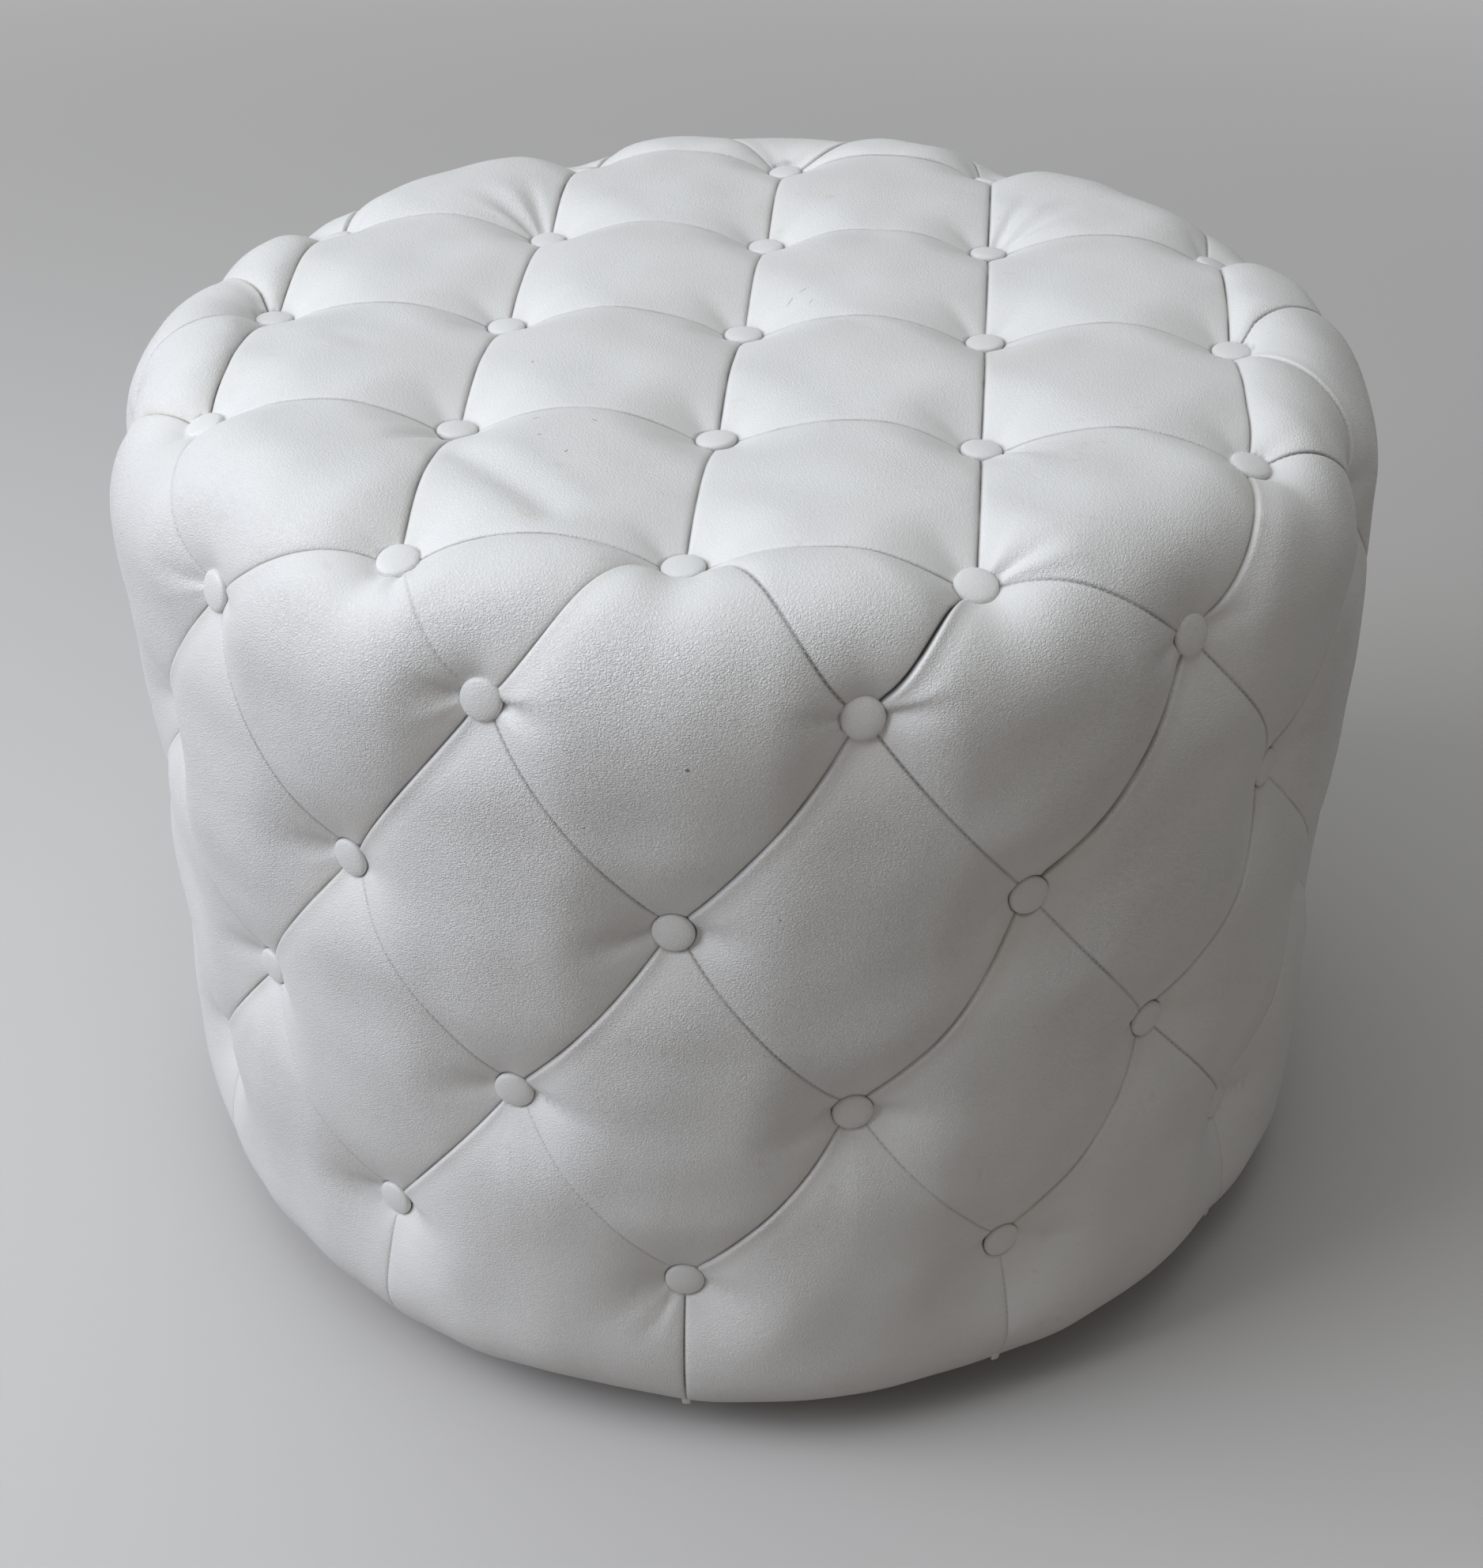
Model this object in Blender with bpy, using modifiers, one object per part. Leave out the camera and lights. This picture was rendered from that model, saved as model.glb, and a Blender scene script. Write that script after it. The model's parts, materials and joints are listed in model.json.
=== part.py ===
# Round tufted swivel stool: a button-tufted drum that turns on a ball-bearing plate over a low base.
# Metres, +Z up. The origin is on the floor under the middle of the drum.
# The tufting has twelve divisions round the side and a square grid of buttons on the top.

import math

import bmesh
import bpy
from mathutils import Matrix, Vector

# Clearance between neighbouring pieces
GAP = 0.0003

# Tufted drum
DRUM_RADIUS = 0.300
CROWN_HEIGHT = 0.4494
SHOULDER_RADIUS = 0.060
HEM_HEIGHT = 0.024
HEM_INSET = 0.010
DIVISIONS = 12
GRID_SHARE = 0.38
GRID_REACH = 2
ROW_COUNT = 4
HIGHEST_ROW_DROP = 0.0504
LOWEST_ROW_RISE = 0.075
PIT_DEPTH = 0.023
SEAM_DEPTH = 0.0045
SEAM_RUN = 0.0285
LONGEST_RUN_SHARE = 0.45
HEM_RUN_SHARE = 1.5
HEM_SHARES = (0.0, 0.38, 0.45, 0.50, 0.55, 0.62, 1.0)
SMOOTH_ANGLE = 40

# Covered buttons and the twine behind the side ones
BUTTON_RADIUS = 0.009
BUTTON_RIM = 0.0012
BUTTON_DOME = 0.0036
DOME_BEND_REACH = 0.62
DOME_BEND_RISE = 0.72
BUTTON_CLEARANCE = 0.0007
SHANK_RADIUS = 0.0016
TWINE_THICKNESS = 0.0022

# Padding: the quilted layer under the cover, then the foam
PADDING_THICKNESS = 0.0197
TOP_PADDING_THICKNESS = 0.0272
FOAM_SHOULDER = 0.045
FOAM_SHOULDER_STEPS = 3
SEAT_FOAM_THICKNESS = 0.0477
SIDE_FOAM_THICKNESS = 0.028

# Drum frame
BOARD_THICKNESS = 0.012
WALL_THICKNESS = 0.009
DUST_COVER_THICKNESS = 0.0012
DUST_COVER_HOLE = 0.150

# Swivel bearing
PLATE_SIDE = 0.200
PLATE_CORNER = 0.016
PLATE_CORNER_STEPS = 3
PLATE_THICKNESS = 0.002
BALL_RADIUS = 0.003
BALL_COUNT = 12
BALL_RINGS = 4
RACE_RADIUS = 0.070
RACE_DEPTH = 0.001
RACE_FLOOR_WIDTH = 0.003
RACE_MOUTH_WIDTH = 0.009
CAGE_WIDTH = 0.012
CAGE_THICKNESS = 0.0012
PIN_RADIUS = 0.006
PIN_HEAD_RADIUS = 0.011
PIN_HEAD_THICKNESS = 0.0015

# Screws through the plates' corners
SCREW_INSET = 0.016
SCREW_RADIUS = 0.0021
SCREW_HOLE_RADIUS = 0.0025
SCREW_HEAD_RADIUS = 0.0042
SCREW_HEAD_THICKNESS = 0.0014
SCREW_HEAD_CHAMFER = 0.6
SCREW_LENGTH = 0.011

# Base
GLIDE_RADIUS = 0.014
GLIDE_SOLE_SHARE = 0.8
GLIDE_RIM_SHARE = 0.5
GLIDE_HEIGHT = 0.005
GLIDE_CIRCLE = 0.170
GLIDE_COUNT = 4
GLIDE_NAIL_RADIUS = 0.0015
GLIDE_NAIL_LENGTH = 0.009
BASE_RADIUS = 0.200
BASE_THICKNESS = 0.012
BASE_EDGE = 0.0015

# Heights that follow from the sizes above
BASE_BOTTOM = GLIDE_HEIGHT + GAP
BASE_TOP = BASE_BOTTOM + BASE_THICKNESS
LOWER_PLATE_BOTTOM = BASE_TOP + GAP
LOWER_PLATE_TOP = LOWER_PLATE_BOTTOM + PLATE_THICKNESS
BALL_HEIGHT = LOWER_PLATE_TOP - RACE_DEPTH + GAP + BALL_RADIUS
UPPER_PLATE_BOTTOM = BALL_HEIGHT + BALL_RADIUS + GAP - RACE_DEPTH
UPPER_PLATE_TOP = UPPER_PLATE_BOTTOM + PLATE_THICKNESS
BOTTOM_BOARD_HEIGHT = UPPER_PLATE_TOP + GAP
SIDE_FOAM_BOTTOM = BOTTOM_BOARD_HEIGHT + BOARD_THICKNESS + GAP
FOAM_TOP_HEIGHT = CROWN_HEIGHT - TOP_PADDING_THICKNESS
SEAT_FOAM_BOTTOM = FOAM_TOP_HEIGHT - SEAT_FOAM_THICKNESS
TOP_BOARD_HEIGHT = SEAT_FOAM_BOTTOM - GAP - BOARD_THICKNESS

# The rows of buttons round the side and the grid on the top
HIGHEST_ROW = CROWN_HEIGHT - HIGHEST_ROW_DROP
LOWEST_ROW = HEM_HEIGHT + LOWEST_ROW_RISE
ROW_PITCH = (HIGHEST_ROW - LOWEST_ROW) / (ROW_COUNT - 1)
ROW_HEIGHTS = tuple(HIGHEST_ROW - row * ROW_PITCH for row in range(ROW_COUNT))
GRID_PITCH = GRID_SHARE * DRUM_RADIUS

# Where a button's back lies in its pit: the pit rises in a straight run from its tip to the seams
PIT_SLOPE = (PIT_DEPTH - SEAM_DEPTH) / SEAM_RUN
BUTTON_BACK_DEPTH = PIT_DEPTH - PIT_SLOPE * BUTTON_RADIUS - BUTTON_CLEARANCE
STUB_DEPTH = PIT_DEPTH - PIT_SLOPE * SHANK_RADIUS - BUTTON_CLEARANCE

# Radii that follow; many-sided pieces share one count of sides, so that their flats lie face to face
INNER_SIDES = 2 * DIVISIONS
ROUND_SIDES = 4 * DIVISIONS
SMALL_SIDES = 8
PIN_SIDES = 16
FLAT_SHARE = math.cos(math.pi / INNER_SIDES)
COVER_INNER_RADIUS = (DRUM_RADIUS - PADDING_THICKNESS) / FLAT_SHARE
SEAT_FOAM_RADIUS = COVER_INNER_RADIUS - GAP
TWINE_RADIUS = COVER_INNER_RADIUS - GAP - TWINE_THICKNESS / 2
SIDE_FOAM_RADIUS = TWINE_RADIUS - TWINE_THICKNESS / 2 - GAP
SIDE_FOAM_INNER = SIDE_FOAM_RADIUS - SIDE_FOAM_THICKNESS
WALL_RADIUS = SIDE_FOAM_INNER * FLAT_SHARE - GAP
BOTTOM_BOARD_RADIUS = SIDE_FOAM_RADIUS
TOP_BOARD_RADIUS = WALL_RADIUS
PLATE_SCREW_REACH = PLATE_SIDE / 2 - SCREW_INSET

collection = None
cutters = None


def start_collections():
    global collection, cutters
    for obj in list(bpy.data.objects):
        bpy.data.objects.remove(obj, do_unlink=True)
    collection = bpy.data.collections.new("tufted_swivel_stool")
    cutters = bpy.data.collections.new("cutters")
    bpy.context.scene.collection.children.link(collection)
    bpy.context.scene.collection.children.link(cutters)


def make_material(name, color, roughness, metallic=0.0):
    material = bpy.data.materials.new(name)
    material.use_nodes = True
    shader = material.node_tree.nodes["Principled BSDF"]
    shader.inputs["Base Color"].default_value = (*color, 1.0)
    shader.inputs["Roughness"].default_value = roughness
    shader.inputs["Metallic"].default_value = metallic
    return material


def add_object(name, bm, material, parent=None, location=(0, 0, 0)):
    bmesh.ops.recalc_face_normals(bm, faces=bm.faces)
    mesh = bpy.data.meshes.new(name)
    bm.to_mesh(mesh)
    bm.free()
    mesh.materials.append(material)
    obj = bpy.data.objects.new(name, mesh)
    obj.location = location
    obj.parent = parent
    collection.objects.link(obj)
    return obj


def add_cutter(name, bm):
    bmesh.ops.recalc_face_normals(bm, faces=bm.faces)
    mesh = bpy.data.meshes.new(name)
    bm.to_mesh(mesh)
    bm.free()
    obj = bpy.data.objects.new(name, mesh)
    obj.hide_render = True
    obj.display_type = "WIRE"
    cutters.objects.link(obj)
    return obj


def cut(obj, cutter, operation="DIFFERENCE"):
    modifier = obj.modifiers.new(cutter.name, "BOOLEAN")
    modifier.operation = operation
    modifier.object = cutter


def profile_edges(profile):
    # Half section in the XZ plane, down its outer side; one that stays off the axis is closed
    bm = bmesh.new()
    verts = [bm.verts.new((radius, 0, height)) for radius, height in profile]
    for pair in zip(verts, verts[1:]):
        bm.edges.new(pair)
    if min(radius for radius, height in profile) > 0:
        bm.edges.new((verts[-1], verts[0]))
    return bm


def turn(obj, sides):
    # Turned by half a side, so that the flats of the padding's pieces face the buttons
    modifier = obj.modifiers.new("turned", "SCREW")
    modifier.steps = sides
    modifier.render_steps = sides
    modifier.use_merge_vertices = True
    modifier.merge_threshold = 0.00001
    obj.rotation_euler.z = math.pi / sides
    return obj


def add_turned(name, profile, material, parent=None, sides=ROUND_SIDES, location=(0, 0, 0)):
    return turn(add_object(name, profile_edges(profile), material, parent, location), sides)


def add_turned_cutter(name, profile, sides=ROUND_SIDES):
    return turn(add_cutter(name, profile_edges(profile)), sides)


def ring_profile(inner, outer, bottom, top):
    return [(inner, top), (outer, top), (outer, bottom), (inner, bottom)]


def disc_profile(radius, bottom, top):
    return [(0, top), (radius, top), (radius, bottom), (0, bottom)]


def polar(radius, angle, height):
    # Angles run from -Y towards +X
    return Vector((radius * math.sin(angle), -radius * math.cos(angle), height))


def soft_shape(obj):
    obj.data.shade_smooth()
    obj.data.set_sharp_from_angle(angle=math.radians(SMOOTH_ANGLE))


# Tufting pattern

def crown_point(guide):
    # Nearest point of the plump, unpitted drum to a guide point inside it, and the outward direction
    radius = math.hypot(guide.x, guide.y)
    outward = Vector((guide.x, guide.y, 0)) / max(radius, 1e-9)
    center_radius = DRUM_RADIUS - SHOULDER_RADIUS
    center_height = CROWN_HEIGHT - SHOULDER_RADIUS
    over_radius = max(radius - center_radius, 0)
    over_height = max(guide.z - center_height, 0)
    over = math.hypot(over_radius, over_height)
    direction = (outward * over_radius + Vector((0, 0, over_height))) / over
    center = outward * min(radius, center_radius) + Vector((0, 0, min(guide.z, center_height)))
    return center + direction * SHOULDER_RADIUS, direction


def sunk_point(guide, depth):
    crown, direction = crown_point(guide)
    return crown - direction * depth


def button_guide(key):
    # Guide points lie at the depth of the buttons' backs
    kind, first, second = key
    if kind == "top":
        height = CROWN_HEIGHT - BUTTON_BACK_DEPTH
        return Vector((first * GRID_PITCH, second * GRID_PITCH, height))
    half = first % 2 == 0
    angle = (second + (0.5 if half else 0.0)) * 2 * math.pi / DIVISIONS
    return polar(DRUM_RADIUS - BUTTON_BACK_DEPTH, angle, ROW_HEIGHTS[first])


def top_keys():
    reach = range(-GRID_REACH, GRID_REACH + 1)
    corner = 2 * GRID_REACH
    return [("top", i, j) for j in reach for i in reach if abs(i) + abs(j) < corner]


def side_key(row, place):
    return ("side", row, place % DIVISIONS)


def nearest_shoulder_button(guide):
    angle = math.atan2(guide.x, -guide.y)
    return side_key(0, round(angle * DIVISIONS / (2 * math.pi) - 0.5))


def corner_or_top(i, j):
    # The missing corners of the square grid are shoulder buttons
    if abs(i) == GRID_REACH and abs(j) == GRID_REACH:
        return nearest_shoulder_button(Vector((i, j, 0)))
    return ("top", i, j)


def top_cells():
    steps = range(-GRID_REACH, GRID_REACH)
    return [(corner_or_top(i, j), corner_or_top(i + 1, j),
             corner_or_top(i + 1, j + 1), corner_or_top(i, j + 1)) for j in steps for i in steps]


def rim_keys():
    # The outermost grid buttons, one above each button of the second row, in order round the drum
    outer = [key for key in top_keys() if max(abs(key[1]), abs(key[2])) == GRID_REACH]
    return sorted(outer, key=lambda key: math.atan2(key[1], -key[2]) % (2 * math.pi))


def side_cells():
    rim = rim_keys()
    cells = []
    for place in range(DIVISIONS):
        a_left, a_right = side_key(0, place - 1), side_key(0, place)
        c_left, c_right = side_key(2, place - 1), side_key(2, place)
        b_here, b_next = side_key(1, place), side_key(1, place + 1)
        d_here = side_key(3, place)
        cells.append((rim[place], a_left, b_here, a_right))
        cells.append((a_right, b_here, c_right, b_next))
        cells.append((b_here, c_left, d_here, c_right))
    return cells


def shoulder_triangles():
    # Two neighbouring rim buttons on one side of the grid and the shoulder button between them
    rim = rim_keys()
    triangles = []
    for place in range(DIVISIONS):
        first, second = rim[place], rim[(place + 1) % DIVISIONS]
        if abs(first[1] - second[1]) + abs(first[2] - second[2]) == 1:
            triangles.append((first, side_key(0, place), second))
    return triangles


def vertex_at(bm, seen, guide, depth):
    # One vertex per place, tagged where it is the tip of a button's pit
    position = sunk_point(guide, depth)
    key = tuple(round(value, 5) for value in position)
    if key not in seen:
        seen[key] = bm.verts.new(position)
        seen[key].tag = depth == PIT_DEPTH
    return seen[key]


def seam_steps(start, end):
    # Shares of a seam at its ends and where the pits of its two buttons run out
    run = min(SEAM_RUN / (end - start).length, LONGEST_RUN_SHARE)
    return (0.0, run, 1.0 - run, 1.0)


def mixed(first, second, share):
    return first + (second - first) * share


def depth_at(i, j, last_i, last_j):
    on_u = i in (0, last_i)
    on_v = j in (0, last_j)
    if on_u and on_v:
        return PIT_DEPTH
    return SEAM_DEPTH if on_u or on_v else 0.0


def add_quad_cell(bm, seen, cell):
    a, b, c, d = (button_guide(key) for key in cell)
    bottom, top = seam_steps(a, b), seam_steps(d, c)
    left, right = seam_steps(a, d), seam_steps(b, c)
    rows = []
    for j in range(4):
        row = []
        for i in range(4):
            v = mixed(left[j], right[j], i / 3)
            u = mixed(bottom[i], top[i], j / 3)
            guide = a.lerp(b, u).lerp(d.lerp(c, u), v)
            row.append(vertex_at(bm, seen, guide, depth_at(i, j, 3, 3)))
        rows.append(row)
    add_faces(bm, rows)


def add_faces(bm, rows):
    # A square at a pit is split through the pit's tip, so that the pit is as wide there as elsewhere
    for lower, upper in zip(rows, rows[1:]):
        for i in range(len(lower) - 1):
            a, b, c, d = lower[i], lower[i + 1], upper[i + 1], upper[i]
            if a.tag or c.tag:
                bm.faces.new((a, b, c))
                bm.faces.new((a, c, d))
            elif b.tag or d.tag:
                bm.faces.new((a, b, d))
                bm.faces.new((b, c, d))
            else:
                bm.faces.new((a, b, c, d))


def add_triangle_cell(bm, seen, cell):
    # Three seams and one raised point in the middle of the cell
    corners = [button_guide(key) for key in cell]
    middle_guide = sum(corners, Vector()) / 3
    middle = vertex_at(bm, seen, middle_guide, 0.0)
    border = []
    for start, end in zip(corners, corners[1:] + corners[:1]):
        for step in seam_steps(start, end)[:-1]:
            depth = PIT_DEPTH if step == 0 else SEAM_DEPTH
            border.append(vertex_at(bm, seen, start.lerp(end, step), depth))
    for first, second in zip(border, border[1:] + border[:1]):
        bm.faces.new((first, second, middle))


def add_hem_cell(bm, seen, place):
    # From a zigzag of two seams down to the hem, with a straight seam under each lowest button
    left, middle, right = (button_guide(key) for key in
                           (side_key(3, place), side_key(2, place), side_key(3, place + 1)))
    steps = seam_steps(left, middle)
    path = [(left.lerp(middle, step), step) for step in steps]
    path += [(middle.lerp(right, step), step) for step in steps[1:]]
    side_run = SEAM_RUN / (ROW_HEIGHTS[3] - HEM_HEIGHT)
    middle_run = HEM_RUN_SHARE * SEAM_RUN / (ROW_HEIGHTS[2] - HEM_HEIGHT)
    last = len(path) - 1
    rows = []
    for j in range(4):
        row = []
        for i, (guide, step) in enumerate(path):
            run = mixed(side_run, middle_run, max(min(i, last - i) - 1, 0) / 2)
            drop = (0.0, run, (1.0 + run) / 2, 1.0)[j]
            angle = (place + HEM_SHARES[i]) * 2 * math.pi / DIVISIONS
            foot = polar(DRUM_RADIUS - BUTTON_BACK_DEPTH, angle, HEM_HEIGHT)
            beside_pit = j == 1 and i in (1, last - 1)
            depth = SEAM_DEPTH if i in (0, last) or j == 0 or beside_pit else 0.0
            if j == 0 and step in (0.0, 1.0):
                depth = PIT_DEPTH
            if j == 3:
                depth = HEM_INSET
            row.append(vertex_at(bm, seen, guide.lerp(foot, drop), depth))
        rows.append(row)
    add_faces(bm, rows)


def tufted_drum():
    bm = bmesh.new()
    seen = {}
    for cell in top_cells() + side_cells():
        add_quad_cell(bm, seen, cell)
    for cell in shoulder_triangles():
        add_triangle_cell(bm, seen, cell)
    for place in range(DIVISIONS):
        add_hem_cell(bm, seen, place)
    rim = [edge for edge in bm.edges if edge.is_boundary]
    bmesh.ops.contextual_create(bm, geom=rim)
    return bm


def foam_profile(radius, top, bottom):
    # Half section of a foam block with a rounded top edge
    center_radius = radius - FOAM_SHOULDER
    center_height = top - FOAM_SHOULDER
    profile = [(0, top)]
    for step in range(FOAM_SHOULDER_STEPS + 1):
        angle = math.pi / 2 * (1 - step / FOAM_SHOULDER_STEPS)
        profile.append((center_radius + FOAM_SHOULDER * math.cos(angle),
                        center_height + FOAM_SHOULDER * math.sin(angle)))
    return profile + [(radius, bottom), (0, bottom)]


def build_cover(seat, material):
    # The space inside opens at the hem, so its cutter starts a little below it
    cover = add_object("tufted_cover", tufted_drum(), material, seat)
    inside = foam_profile(COVER_INNER_RADIUS, FOAM_TOP_HEIGHT + GAP, HEM_HEIGHT - HEM_INSET)
    cut(cover, add_turned_cutter("cover_inside", inside, INNER_SIDES))
    soft_shape(cover)


# Buttons

def button_profile(shank_length):
    return [(0, BUTTON_RIM + BUTTON_DOME),
            (BUTTON_RADIUS * DOME_BEND_REACH, BUTTON_RIM + BUTTON_DOME * DOME_BEND_RISE),
            (BUTTON_RADIUS, BUTTON_RIM),
            (BUTTON_RADIUS, 0),
            (SHANK_RADIUS, 0),
            (SHANK_RADIUS, -shank_length),
            (0, -shank_length)]


def button_body(shank_length):
    bm = profile_edges(button_profile(shank_length))
    bmesh.ops.spin(bm, geom=list(bm.verts) + list(bm.edges), axis=(0, 0, 1), cent=(0, 0, 0),
                   steps=SMALL_SIDES, angle=2 * math.pi, use_duplicate=False)
    bmesh.ops.remove_doubles(bm, verts=bm.verts, dist=0.00001)
    bmesh.ops.recalc_face_normals(bm, faces=bm.faces)
    return bm


def facing(position, direction):
    turn = Vector((0, 0, 1)).rotation_difference(direction).to_matrix().to_4x4()
    return Matrix.Translation(position) @ turn


def build_single_buttons(seat, material):
    keys = top_keys() + [side_key(0, place) for place in range(DIVISIONS)]
    shank = STUB_DEPTH - BUTTON_BACK_DEPTH
    mesh = None
    top_count = 0
    shoulder_count = 0
    for key in keys:
        crown, direction = crown_point(button_guide(key))
        if key[0] == "top":
            top_count += 1
            name = f"top_button_{top_count:02d}"
        else:
            shoulder_count += 1
            name = f"shoulder_button_{shoulder_count:02d}"
        if mesh is None:
            button = add_object(name, button_body(shank), material, seat)
            mesh = button.data
            soft_shape(button)
        else:
            button = bpy.data.objects.new(name, mesh)
            button.parent = seat
            collection.objects.link(button)
        button.matrix_local = facing(crown - direction * BUTTON_BACK_DEPTH, direction)


def build_button_row(name, row, seat, material):
    # Twelve buttons whose shanks run through the padding to one ring of twine on the side foam
    height = ROW_HEIGHTS[row]
    half = TWINE_THICKNESS / 2
    twine = ring_profile(TWINE_RADIUS - half, TWINE_RADIUS + half, height - half, height + half)
    ring = add_turned(name, twine, material, seat, INNER_SIDES)
    shank = DRUM_RADIUS - BUTTON_BACK_DEPTH - TWINE_RADIUS * FLAT_SHARE
    heads = bmesh.new()
    for place in range(DIVISIONS):
        crown, direction = crown_point(button_guide(side_key(row, place)))
        head = button_body(shank)
        head.transform(facing(crown - direction * BUTTON_BACK_DEPTH, direction))
        piece = bpy.data.meshes.new("button_head")
        head.to_mesh(piece)
        head.free()
        heads.from_mesh(piece)
        bpy.data.meshes.remove(piece)
    cut(ring, add_cutter(name + "_heads", heads), "UNION")
    soft_shape(ring)


# Padding and frame of the drum

def build_padding(seat, foam):
    profile = foam_profile(SEAT_FOAM_RADIUS, FOAM_TOP_HEIGHT, SEAT_FOAM_BOTTOM)
    add_turned("seat_foam", profile, foam, seat, INNER_SIDES)
    side = ring_profile(SIDE_FOAM_INNER, SIDE_FOAM_RADIUS, SIDE_FOAM_BOTTOM, SEAT_FOAM_BOTTOM - GAP)
    add_turned("side_foam", side, foam, seat, INNER_SIDES)


def build_frame(seat, wood, cloth):
    bottom = disc_profile(BOTTOM_BOARD_RADIUS, BOTTOM_BOARD_HEIGHT,
                          BOTTOM_BOARD_HEIGHT + BOARD_THICKNESS)
    board = add_turned("bottom_board", bottom, wood, seat, INNER_SIDES)
    cut(board, screw_pilots("bottom_board_holes", BOTTOM_BOARD_HEIGHT))
    recess_depth = PIN_HEAD_THICKNESS + GAP
    recess = disc_profile(PIN_HEAD_RADIUS + GAP, BOTTOM_BOARD_HEIGHT - recess_depth,
                          BOTTOM_BOARD_HEIGHT + recess_depth)
    cut(board, add_turned_cutter("board_pin_recess", recess, INNER_SIDES))
    top = disc_profile(TOP_BOARD_RADIUS, TOP_BOARD_HEIGHT, SEAT_FOAM_BOTTOM - GAP)
    add_turned("top_board", top, wood, seat)
    wall = ring_profile(WALL_RADIUS - WALL_THICKNESS, WALL_RADIUS,
                        SIDE_FOAM_BOTTOM, TOP_BOARD_HEIGHT - GAP)
    add_turned("drum_wall", wall, wood, seat)
    dust_top = BOTTOM_BOARD_HEIGHT - GAP
    dust = ring_profile(DUST_COVER_HOLE, BOTTOM_BOARD_RADIUS, dust_top - DUST_COVER_THICKNESS, dust_top)
    add_turned("dust_cover", dust, cloth, seat, INNER_SIDES)


# Swivel

def screw_places():
    reach = PLATE_SCREW_REACH
    return [(reach, reach), (-reach, reach), (-reach, -reach), (reach, -reach)]


def screw_pilots(name, face, up=True):
    # Holes for the plate screws in a wooden board, open at the face that the plate lies on
    depth = SCREW_LENGTH - PLATE_THICKNESS + GAP
    holes = bmesh.new()
    for x, y in screw_places():
        start, end = (face - GAP, face + depth) if up else (face - depth, face + GAP)
        made = bmesh.ops.create_cone(holes, cap_ends=True, segments=SMALL_SIDES, depth=end - start,
                                     radius1=SCREW_RADIUS + GAP, radius2=SCREW_RADIUS + GAP)
        bmesh.ops.translate(holes, verts=made["verts"], vec=(x, y, (start + end) / 2))
    return add_cutter(name, holes)


def plate_blank(bottom, top):
    # A square plate with rounded corners
    bm = bmesh.new()
    reach = PLATE_SIDE / 2 - PLATE_CORNER
    points = []
    for quarter, (sx, sy) in enumerate(((1, 1), (-1, 1), (-1, -1), (1, -1))):
        for step in range(PLATE_CORNER_STEPS + 1):
            angle = (quarter + step / PLATE_CORNER_STEPS) * math.pi / 2
            points.append((sx * reach + PLATE_CORNER * math.cos(angle),
                           sy * reach + PLATE_CORNER * math.sin(angle)))
    face = bm.faces.new([bm.verts.new((x, y, bottom)) for x, y in points])
    lifted = bmesh.ops.extrude_face_region(bm, geom=[face])
    verts = [item for item in lifted["geom"] if isinstance(item, bmesh.types.BMVert)]
    bmesh.ops.translate(bm, verts=verts, vec=(0, 0, top - bottom))
    return bm


def plate_openings(name, bottom):
    bm = bmesh.new()
    middle = bottom + PLATE_THICKNESS / 2
    holes = [(x, y, SCREW_HOLE_RADIUS, SMALL_SIDES) for x, y in screw_places()]
    holes.append((0, 0, PIN_RADIUS + GAP, PIN_SIDES))
    for x, y, radius, sides in holes:
        made = bmesh.ops.create_cone(bm, cap_ends=True, segments=sides, depth=PLATE_THICKNESS * 2,
                                     radius1=radius, radius2=radius)
        bmesh.ops.translate(bm, verts=made["verts"], vec=(x, y, middle))
    return add_cutter(name, bm)


def race_groove(name, face, sign):
    # Shallow channel that the balls roll in, open at the plate's face
    flat = RACE_FLOOR_WIDTH / 2
    wide = RACE_MOUTH_WIDTH / 2
    floor = face - sign * RACE_DEPTH
    mouth = face + sign * RACE_DEPTH
    profile = [(RACE_RADIUS - flat, floor), (RACE_RADIUS + flat, floor),
               (RACE_RADIUS + wide, mouth), (RACE_RADIUS - wide, mouth)]
    profile = profile if sign < 0 else profile[::-1]
    return add_turned_cutter(name, profile, INNER_SIDES)


def build_plates(root, seat, steel):
    lower = plate_blank(LOWER_PLATE_BOTTOM, LOWER_PLATE_TOP)
    plate = add_object("lower_swivel_plate", lower, steel, root)
    cut(plate, plate_openings("lower_plate_openings", LOWER_PLATE_BOTTOM))
    cut(plate, race_groove("lower_race", LOWER_PLATE_TOP, 1))
    upper = plate_blank(UPPER_PLATE_BOTTOM, UPPER_PLATE_TOP)
    plate = add_object("upper_swivel_plate", upper, steel, seat)
    cut(plate, plate_openings("upper_plate_openings", UPPER_PLATE_BOTTOM))
    cut(plate, race_groove("upper_race", UPPER_PLATE_BOTTOM, -1))


def build_ball_ring(middle, steel):
    half_width = CAGE_WIDTH / 2
    low = BALL_HEIGHT - CAGE_THICKNESS / 2
    cage = ring_profile(RACE_RADIUS - half_width, RACE_RADIUS + half_width,
                        low, low + CAGE_THICKNESS)
    ring = add_turned("ball_ring", cage, steel, middle, INNER_SIDES)
    balls = bmesh.new()
    for index in range(BALL_COUNT):
        place = polar(RACE_RADIUS, index * 2 * math.pi / BALL_COUNT, BALL_HEIGHT)
        bmesh.ops.create_uvsphere(balls, u_segments=SMALL_SIDES, v_segments=BALL_RINGS,
                                  radius=BALL_RADIUS, matrix=Matrix.Translation(place))
    cut(ring, add_cutter("bearing_balls", balls), "UNION")
    soft_shape(ring)


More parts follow.
